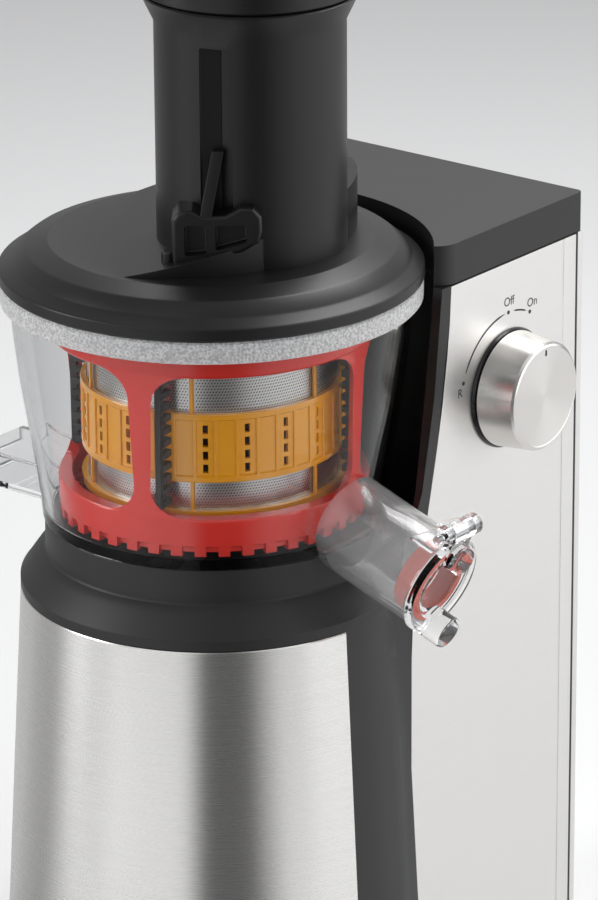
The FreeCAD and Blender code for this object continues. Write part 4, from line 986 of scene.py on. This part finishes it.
@dataclass
class SpoutCap:
    """Clear hinged cap with a knuckle, an upper lobe and a thumb lobe."""

    bowl: Bowl = field(default_factory=Bowl)
    rim: float = 18.2
    thickness: float = 3.0

    def lobe(self, name: str, up: float, radius: float, reach: float) -> bpy.types.Object:
        """Rounded tab standing out from the cap's face."""
        start = self.bowl.spout_length + 1.0
        tab = rod(name, self.bowl.axis_point(start, up), self.bowl.axis_point(start + reach, up), radius, 32)
        bevel(tab, 0.8, 2, 50)
        return tab

    def build(self) -> None:
        """Build the cap as one clear moulding."""
        length = self.bowl.spout_length
        face = length + 0.3
        profile = [(0, face), (self.rim - 0.8, face), (self.rim, face + 0.8), (self.rim, face + self.thickness - 1),
                   (self.rim - 1, face + self.thickness), (12.5, face + self.thickness),
                   (11.8, face + self.thickness - 1.2), (0, face + self.thickness - 1.2)]
        cap = turned("cap_flap", profile, Axis.SPOUT, mm(*self.bowl.spout_start), 72)
        plug = [(0, face + 0.4), (11.2, face + 0.4), (10.4, length - 7.4), (9.0, length - 7.4), (9.6, face + 0.2),
                (0, face + 0.2)]
        combine(cap, turned("plug", plug, Axis.SPOUT, mm(*self.bowl.spout_start), 48), "UNION")
        hinge = self.bowl.axis_point(length + 1.5, self.bowl.hinge_rise)
        knuckle = rod("knuckle", hinge + mm(0, -5.6, 0), hinge + mm(0, 5.6, 0), 3.9, 32)
        corners = [self.bowl.axis_point(face, 12), self.bowl.axis_point(face + 3.4, 12),
                   self.bowl.axis_point(face + 4.4, 23), self.bowl.axis_point(face, 23)]
        web = slab("web", [p + mm(0, -5.6, 0) for p in corners], mm(0, 11.2, 0))
        combine(knuckle, web, "UNION")
        combine(cap, knuckle, "UNION")
        for up, radius, reach in ((13.5, 5.2, 7.5), (-15.0, 6.0, 10.0)):
            combine(cap, self.lobe("lobe", up, radius, reach), "UNION")
        combine(cap, rod("pin_hole", hinge + mm(0, -12, 0), hinge + mm(0, 12, 0), 1.56, 24))
        smooth(cap, 35)
        place(cap, Body.CAP, FINISHES["clear_plastic"], ["spout_cap"])


# Wiper and strainer

@dataclass
class Wiper:
    """Red wiper frame: two rings, four ribs, rim teeth, gear ring and black combs."""

    low_radius: float = 55.5
    high_radius: float = 57.6
    ring_low: float = 218.2
    ring_high: float = 228.3
    top_low: float = 280.8
    top_high: float = 287.0
    first_azimuth: float = 13.0
    rib_width: float = 10.0
    rim_teeth: int = 42
    ring_teeth: int = 64

    def sleeve(self) -> bpy.types.Object:
        """Turned sleeve before its windows are cut."""
        wall = 3.2
        profile = [(self.low_radius - 4.9, self.ring_low), (self.low_radius - 0.4, self.ring_low),
                   (self.low_radius, self.ring_low + 0.4), (self.low_radius, self.ring_high - 1),
                   (self.low_radius - 0.6, self.ring_high), (self.high_radius - 0.6, self.top_low),
                   (self.high_radius, self.top_low + 0.8), (self.high_radius, self.top_high - 0.4),
                   (self.high_radius - 0.4, self.top_high), (self.high_radius - wall, self.top_high),
                   (self.high_radius - wall, self.top_low), (self.low_radius - wall - 0.6, self.ring_high + 1),
                   (self.low_radius - 4.9, self.ring_high)]
        return turned("wiper", profile, steps=144)

    def window(self, azimuth: float) -> bpy.types.Object:
        """Cutter for one window, with large round corners."""
        half = (self.high_radius - 0.5) * math.sin(math.radians(45)) - self.rib_width / 2 * 0.72
        cutter = block("window", mm(-half, -75, self.ring_high), mm(half, -30, self.top_low))
        pick_edges(cutter, lambda first, second: abs(first.y - second.y) > 0.01)
        bpy.ops.mesh.bevel(offset=10 * MM, segments=6, affect="EDGES")
        bpy.ops.object.mode_set(mode="OBJECT")
        turn(cutter, azimuth)
        return cutter

    def teeth(self) -> list[bpy.types.Object]:
        """Square teeth under the rim and the small gear teeth inside."""
        tooth = block("rim_tooth", mm(-2.0, -self.low_radius + 0.1, 214.8), mm(2.0, -self.low_radius + 3, 218.6))
        rim = ring_of(tooth, self.rim_teeth, "rim_teeth")
        inner = block("gear_tooth", mm(-0.9, -50.8, 216.2), mm(0.9, -47.3, 222.0))
        band = turned("gear_band", [(50.0, 216.1), (54.0, 216.1), (54.0, 219), (50.0, 222)], steps=96)
        return [rim, ring_of(inner, self.ring_teeth, "gear_teeth"), band]

    def build(self) -> None:
        """Build the frame and its combs."""
        frame_piece = self.sleeve()
        for quarter in range(4):
            combine(frame_piece, self.window(self.first_azimuth + 45 + 90 * quarter))
        bevel(frame_piece, 0.5, 2, 40)
        frame_piece = join([frame_piece] + self.teeth(), "wiper_cage")
        smooth(frame_piece, 35)
        place(frame_piece, Body.WIPER, FINISHES["red_plastic"], ["wiper_frame"])
        self.combs()

    def combs(self) -> None:
        """Black silicone combs beside each rib."""
        teeth = []
        for row in range(11):
            z = self.ring_high + 3.0 + row * 4.4
            tooth = block("comb_tooth", mm(5.0, -53.2, z), mm(7.6, -47.4, z + 2.6))
            bevel(tooth, 0.4, 2)
            teeth.append(tooth)
        spine = block("comb_spine", mm(4.6, -54.2, self.ring_high + 2), mm(6.6, -51.6, self.top_low - 2))
        comb = join([spine] + teeth, "comb")
        turn(comb, self.first_azimuth)
        combs = ring_of(comb, 4, "wiper_combs")
        place(combs, Body.WIPER, FINISHES["black_silicone"], ["wiper_blades"])


@dataclass
class Strainer:
    """Amber basket with slotted band, and two perforated steel bands."""

    radius: float = 47.0
    wall: float = 2.2
    floor_z: float = 225.0
    top_z: float = 291.0
    band_low: float = 239.0
    band_high: float = 264.0
    mesh_gap: float = 1.05
    mesh_rim: float = 1.2

    def band(self) -> bpy.types.Object:
        """Middle band with upright ribs and columns of slots."""
        inner = self.radius - self.wall
        profile = [(inner, self.band_low), (self.radius - 0.2, self.band_low), (self.radius, self.band_low + 0.4),
                   (self.radius, self.band_low + 2), (self.radius - 0.6, self.band_low + 2.5),
                   (self.radius - 0.6, self.band_high - 2.5), (self.radius, self.band_high - 2),
                   (self.radius, self.band_high - 0.4), (self.radius - 0.2, self.band_high), (inner, self.band_high)]
        band = turned("band", profile, steps=120)
        slots = []
        for row in range(4):
            z = self.band_low + 3.4 + row * 4.8
            slots.append(block("slot", mm(-0.9, -50, z), mm(0.9, -43, z + 3.2)))
        column = join(slots, "slots")
        combine(band, ring_of(column, 20, "slot_ring"))
        rib = block("rib", mm(-0.7, -self.radius + 0.05, self.band_low + 1), mm(0.7, -self.radius + 1.2, self.band_high - 1))
        bevel(rib, 0.3, 2)
        turn(rib, 4.5)
        return join([band, ring_of(rib, 40, "ribs")], "band")

    def basket(self) -> None:
        """Amber basket: floor, rims, posts and band."""
        inner = self.radius - self.wall
        low = turned("low_rim", [(13.6, 225), (46.6, 225), (47, 225.4), (47, 228.2), (inner, 228.2), (inner, 227),
                                 (13.6, 227)], steps=96)
        combine(low, block("hole", mm(-37, -6, 220), mm(-25, 8, 230)))
        high = turned("high_rim", [(inner, 287), (46.7, 287), (47, 287.3), (47, 290.6), (46.6, 291), (inner, 291)],
                      steps=96)
        post = block("post", mm(-0.7, -46.0, 226), mm(0.7, -44.9, 290))
        bevel(post, 0.3, 2)
        turn(post, 30)
        basket = join([self.band(), low, high, ring_of(post, 6, "posts")], "strainer_cage")
        smooth(basket)
        place(basket, Body.BOWL, FINISHES["amber_plastic"], ["strainer_basket", "strainer_floor"])

    def mesh_band(self, node: str, name: str, low: float, high: float) -> None:
        """Perforated steel band: a fine grid with an inset hole in every cell."""
        radius = self.radius - self.wall - 0.3
        rows = 2 * max(2, round((high - low - 2 * self.mesh_rim) / self.mesh_gap / 2))
        columns = round(2 * math.pi * radius / self.mesh_gap)
        points = []
        for row in range(rows + 1):
            angle = math.pi * row / columns
            z = low + self.mesh_rim + (high - low - 2 * self.mesh_rim) * row / rows
            points.append(mm(radius * math.cos(angle), radius * math.sin(angle), z))
        sheet = wire(name, points)
        bpy.ops.mesh.spin(steps=columns, angle=2 * math.pi, center=Vector(), axis=Vector((0, 0, 1)))
        bpy.ops.mesh.select_all(action="SELECT")
        bpy.ops.mesh.remove_doubles(threshold=2e-6)
        bpy.ops.object.mode_set(mode="OBJECT")
        activate(sheet)
        bpy.context.tool_settings.mesh_select_mode = (False, False, True)
        bpy.ops.object.mode_set(mode="EDIT")
        bpy.ops.mesh.select_all(action="SELECT")
        bpy.ops.mesh.inset(thickness=0.27 * MM, use_individual=True)
        bpy.ops.mesh.delete(type="FACE")
        bpy.ops.mesh.select_all(action="SELECT")
        bpy.ops.mesh.normals_make_consistent(inside=False)
        bpy.ops.object.mode_set(mode="OBJECT")
        rims = [turned("rim", [(radius - 0.1, z), (radius + 0.15, z), (radius + 0.15, z + self.mesh_rim),
                               (radius - 0.1, z + self.mesh_rim)], steps=128)
                for z in (low, high - self.mesh_rim)]
        seam = block("seam", mm(-1.3, -radius - 0.2, low), mm(1.3, -radius + 0.35, high))
        turn(seam, 30)
        sheet = join([sheet, ring_of(seam, 6, "seams")] + rims, name)
        smooth(sheet, 60)
        place(sheet, Body.BOWL, FINISHES["mesh_steel"], [node])

    def build(self) -> None:
        """Build the basket and its steel bands."""
        self.basket()
        self.mesh_band("strainer_mesh_lower", "mesh_low", 227.2, 242.0)
        self.mesh_band("strainer_mesh_upper", "mesh_high", 261.0, 289.5)


# Lid with feed chute, and pusher

@dataclass
class Lid:
    """Black lid: domed rim, plateau, ramp, feed chute with groove, gusset and bracket."""

    chute: tuple[float, float] = (16.0, 3.0)
    chute_radius: float = 33.3
    chute_bore: float = 29.6
    chute_top: float = 405.0
    plateau_z: float = 314.0
    view_azimuth: float = 37.4

    def seen(self, across: float, depth: float, z: float) -> Vector:
        """Point beside the chute's axis: across to the right and depth away from the front-right corner."""
        angle = math.radians(self.view_azimuth)
        x = self.chute[0] + across * math.cos(angle) - depth * math.sin(angle)
        y = self.chute[1] + across * math.sin(angle) + depth * math.cos(angle)
        return mm(x, y, z)

    def dish(self) -> bpy.types.Object:
        """Turned lid with its rim, dome, plateau and skirt."""
        profile = [(0, 314.0), (57.0, 314.0)] + arc(57.0, 311.0, 3.0, 90, 62, 3)
        profile += arc(48.6, 287.2, 29.5, 58, 41, 8)[1:] + [(74.4, 304.5)] + arc(74.2, 303.7, 0.8, 80, 0, 3)
        profile += [(75.0, 300.4), (74.5, 299.8), (68.1, 299.8), (68.1, 292.7), (65.9, 292.7), (65.9, 303.5),
                    (58.5, 311.4), (0, 311.4)]
        return turned("lid_dish", profile, steps=160)

    def ramp(self) -> bpy.types.Object:
        """Slanted disc that rises from the plateau to the chute."""
        ramp = rod("ramp", mm(-20, 4, 312.5), mm(-20, 4, 345), 64.6, 160)
        activate(ramp)
        bpy.ops.object.mode_set(mode="EDIT")
        bpy.ops.mesh.select_all(action="SELECT")
        rise = math.radians(37)
        normal = Vector((-0.24 * math.cos(rise), -0.24 * math.sin(rise), 1.0)).normalized()
        bpy.ops.mesh.bisect(plane_co=mm(6, -55, 314), plane_no=normal, clear_outer=True, use_fill=True)
        bpy.ops.object.mode_set(mode="OBJECT")
        combine(ramp, rod("plateau", mm(0, 0, 300), mm(0, 0, 360), 58.4, 160), "INTERSECT")
        bevel(ramp, 1.5, 4, 40)
        return ramp

    def tube(self) -> bpy.types.Object:
        """Feed chute with its hopper mouth and the sunk strip on its face."""
        x, y = self.chute
        r, top = self.chute_radius, self.chute_top
        profile = [(0, 312), (r, 312), (r, top - 10), (37.6, top - 1)] + [(38.0, top - 0.5), (37.4, top), (0, top)]
        tube = turned("chute", profile, origin=mm(x, y, 0), steps=128)
        strip = block("strip", mm(-5.6, -40, 327), mm(5.6, -self.chute_radius + 3.2, 392))
        bevel(strip, 0.8, 2)
        turn(strip, self.view_azimuth)
        strip.data.transform(Matrix.Translation(self.seen(-11.0, 2.0, 0)))
        combine(tube, strip)
        return tube

    def gusset(self) -> bpy.types.Object:
        """Leaning rib from the bracket up to the chute."""
        low, high = self.seen(-15.0, -37.5, 333), self.seen(-10.5, -31.0, 356)
        across = (self.seen(1, 0, 0) - self.seen(0, 0, 0)).normalized()
        inward = (self.seen(0, 1, 0) - self.seen(0, 0, 0)).normalized()
        outline = [low - across * 0.0021, low + across * 0.0021, high + across * 0.0021, high - across * 0.0021]
        rib = slab("rib", outline, inward * 0.012)
        bevel(rib, 0.5, 2)
        return rib

    def bracket(self) -> bpy.types.Object:
        """Bracket at the foot of the chute: a wedge over the ramp, with a small foot and two pockets."""
        across = (self.seen(1, 0, 0) - self.seen(0, 0, 0)).normalized()
        inward = (self.seen(0, 1, 0) - self.seen(0, 0, 0)).normalized()
        outline = [(-26.0, 317.0), (-19.0, 317.6), (-11.0, 319.0), (-2.0, 322.0), (3.6, 325.4), (4.6, 329.0),
                   (4.4, 334.5), (1.6, 337.6), (-3.0, 337.8), (-8.0, 335.0), (-16.0, 334.6), (-19.5, 336.8),
                   (-24.4, 336.2), (-26.4, 333.0), (-26.4, 322.0)]
        bracket = slab("bracket", [self.seen(a, -38.0, z) for a, z in outline], inward * 0.016)
        bevel(bracket, 1.5, 3, 50)
        for corners in ([(-22.0, 320.6), (-14.4, 321.4), (-14.4, 331.6), (-22.0, 331.6)],
                        [(-11.4, 322.6), (-0.6, 325.6), (-0.6, 331.8), (-11.4, 331.6)]):
            pocket = slab("pocket", [self.seen(a, -39.0, z) for a, z in corners], inward * 0.0050)
            bevel(pocket, 0.9, 2, 50)
            combine(bracket, pocket)
        foot = rod("foot", self.seen(-27.4, -33.5, 313.5), self.seen(-27.4, -33.5, 321.5), 2.8, 32)
        bevel(foot, 0.8, 3, 50)
        return join([bracket, foot], "bracket")

    def build(self) -> None:
        """Build the lid as one moulding."""
        x, y = self.chute
        lid = self.dish()
        for part in (self.ramp(), self.tube()):
            combine(lid, part, "UNION")
        bore = turned("bore", [(0, 300), (self.chute_bore, 300), (self.chute_bore, self.chute_top - 10),
                               (35.6, self.chute_top + 0.1), (35.6, 420), (0, 420)], origin=mm(x, y, 0), steps=96)
        combine(lid, bore)
        arm = block("arm", mm(-48, -4, 305.4), mm(8, 4, 312))
        bevel(arm, 0.6, 2)
        bush = turned("bush", [(7.1, 303.4), (10.1, 303.4), (10.1, 312), (7.1, 312)], steps=48)
        combine(arm, rod("pin_hole", mm(0, 0, 300), mm(0, 0, 320), 7.1))
        lid = join([lid, self.bracket(), self.gusset(), arm, bush], "feed_lid")
        smooth(lid, 30)
        place(lid, Body.LID, FINISHES["lid_plastic"], ["lid"])

    def pusher(self) -> None:
        """Hollow pusher with a broad head and a waisted grip."""
        x, y = self.chute
        top = self.chute_top + 0.3
        profile = [(0, 332), (27.8, 332), (29.3, 333.5), (29.3, top - 12), (30.0, top), (37.2, top), (38.0, top + 0.8),
                   (38.0, top + 6.6)] + arc(35.6, top + 6.6, 2.4, 0, 90, 4)
        profile += [(17.2, top + 9)] + arc(17.0, top + 11.2, 2.2, -90, -180, 4) + [(14.8, top + 14)]
        profile += arc(13.6, top + 27.6, 3.4, 10, 90, 5) + [(0, top + 31)]
        pusher = turned("pusher_body", profile, origin=mm(x, y, 0), steps=96)
        smooth(pusher)
        place(pusher, Body.PUSHER, FINISHES["lid_plastic"], ["pusher"])


# Studio

@dataclass
class Studio:
    """Pale floor and backdrop, soft boxes and the camera of the photograph."""

    distance: float = 1.600
    height: float = 0.83241
    azimuth: float = 39.59
    heading: float = 37.36
    pitch: float = 18.93
    focal_pixels: float = 4797.0
    frame_pixels: float = 900.0
    glow: float = 1.05

    def camera(self) -> None:
        """Camera that was fitted to the lid, bowl, drum, tower and knob."""
        turn_angle = math.radians(self.azimuth)
        place_point = (self.distance * math.sin(turn_angle), -self.distance * math.cos(turn_angle), self.height)
        bpy.ops.object.camera_add(location=place_point, rotation=(math.radians(90 - self.pitch), 0,
                                                                  math.radians(self.heading)))
        camera = bpy.context.active_object
        camera.data.sensor_width = 36.0
        camera.data.lens = self.focal_pixels / self.frame_pixels * 36.0
        camera.data.shift_x = -0.1
        camera.data.shift_y = -0.15
        camera.data.clip_end = 20.0
        bpy.context.scene.camera = camera

    def surroundings(self) -> None:
        """World light and a white ground whose colour, seen in reflections, is painted in bright and dark bands."""
        world = bpy.data.worlds.new("studio")
        bpy.context.scene.world = world
        world.use_nodes = True
        tree = world.node_tree
        tree.nodes.clear()
        soft = tree.nodes.new("ShaderNodeBackground")
        soft.inputs["Color"].default_value = (0.96, 0.97, 1.0, 1)
        soft.inputs["Strength"].default_value = 0.3
        shown = tree.nodes.new("ShaderNodeBackground")
        shown.inputs["Color"].default_value = (0.86, 0.865, 0.87, 1)
        shown.inputs["Strength"].default_value = 1.0
        glow = tree.nodes.new("ShaderNodeBackground")
        direction = tree.nodes.new("ShaderNodeTexCoord")
        tone = tree.nodes.new("ShaderNodeGroup")
        tone.node_tree = STUDIO
        tree.links.new(direction.outputs["Generated"], tone.inputs["Vector"])
        tree.links.new(math_node(tree, "MULTIPLY", tone.outputs["Value"], self.glow), glow.inputs["Strength"])
        path = tree.nodes.new("ShaderNodeLightPath")
        mirrored = tree.nodes.new("ShaderNodeMixShader")
        tree.links.new(path.outputs["Is Glossy Ray"], mirrored.inputs[0])
        tree.links.new(soft.outputs[0], mirrored.inputs[1])
        tree.links.new(glow.outputs[0], mirrored.inputs[2])
        mix = tree.nodes.new("ShaderNodeMixShader")
        out = tree.nodes.new("ShaderNodeOutputWorld")
        seen = math_node(tree, "MAXIMUM", path.outputs["Is Camera Ray"], path.outputs["Is Transmission Ray"])
        tree.links.new(seen, mix.inputs[0])
        tree.links.new(mirrored.outputs[0], mix.inputs[1])
        tree.links.new(shown.outputs[0], mix.inputs[2])
        tree.links.new(mix.outputs[0], out.inputs["Surface"])
        deselect()
        bpy.ops.mesh.primitive_plane_add(size=8.0, location=(0, 0, 0))
        floor = bpy.context.active_object
        floor.name = "floor"
        material, shader = base_material("pale_floor_painted_reflections")
        shader.inputs["Roughness"].default_value = 0.6
        tree = material.node_tree
        # Seen in reflections, the floor's colour is painted in the studio's bright and dark bands by compass
        # direction: a painted reflection in the steel. Seen directly, it stays evenly pale.
        path = tree.nodes.new("ShaderNodeLightPath")
        tone = tree.nodes.new("ShaderNodeMix")
        tone.data_type = "RGBA"
        tone.inputs["A"].default_value = (0.84, 0.84, 0.84, 1)
        coordinates = tree.nodes.new("ShaderNodeTexCoord")
        bands = tree.nodes.new("ShaderNodeGroup")
        bands.node_tree = STUDIO
        tree.links.new(coordinates.outputs["Object"], bands.inputs["Vector"])
        tree.links.new(bands.outputs["Value"], tone.inputs["B"])
        tree.links.new(path.outputs["Is Glossy Ray"], tone.inputs["Factor"])
        tree.links.new(tone.outputs["Result"], shader.inputs["Base Color"])
        floor.data.materials.append(material)

    def lamp(self, name: str, spot: Point, aim: Point, size: tuple[float, float], power: float) -> None:
        """Rectangular soft box aimed at a point."""
        bpy.ops.object.light_add(type="AREA", location=spot)
        lamp = bpy.context.active_object
        lamp.name = name
        lamp.data.shape = "RECTANGLE"
        lamp.data.size, lamp.data.size_y = size
        lamp.data.energy = power
        way = Vector(aim) - Vector(spot)
        lamp.rotation_euler = way.to_track_quat("-Z", "Y").to_euler()

    def build(self) -> None:
        """Build the camera, ground, world and lamps."""
        self.camera()
        self.surroundings()
        self.lamp("left_box", (-1.1, -1.1, 0.8), (0, 0, 0.22), (0.5, 1.4), 11.0)
        self.lamp("right_box", (1.5, 0.9, 0.5), (0.05, 0.05, 0.22), (2.2, 2.0), 17.0)
        self.lamp("top_box", (-0.1, 0.7, 1.4), (0, 0, 0.25), (1.2, 0.7), 16.0)
        bpy.context.scene.view_settings.view_transform = "Standard"


def dress_nodes() -> None:
    """Give every CAD node that still shows the finish of its slot."""
    finish_of = {"clear_plastic": "clear_plastic", "cap_plastic": "clear_plastic"}
    slots = {part["node"]: part["material_slot"] for part in frame["record"]["subparts"]}
    for name, node in frame["nodes"].items():
        slot = slots[name]
        material = FINISHES[finish_of.get(slot, slot)]
        if not node.data.materials:
            node.data.materials.append(material)
        for index in range(len(node.data.materials)):
            node.data.materials[index] = material


def main() -> None:
    """Build every sub-assembly in order."""
    logging.basicConfig(level=logging.INFO, format="%(name)s %(message)s")
    dress_nodes()
    Studio().build()
    BaseUnit().build()
    Dial().build()
    bowl = Bowl()
    bowl.build()
    SpoutCap(bowl).build()
    Wiper().build()
    Strainer().build()
    lid = Lid()
    lid.build()
    lid.pusher()
    deselect()


if __name__ == "__main__":
    main()
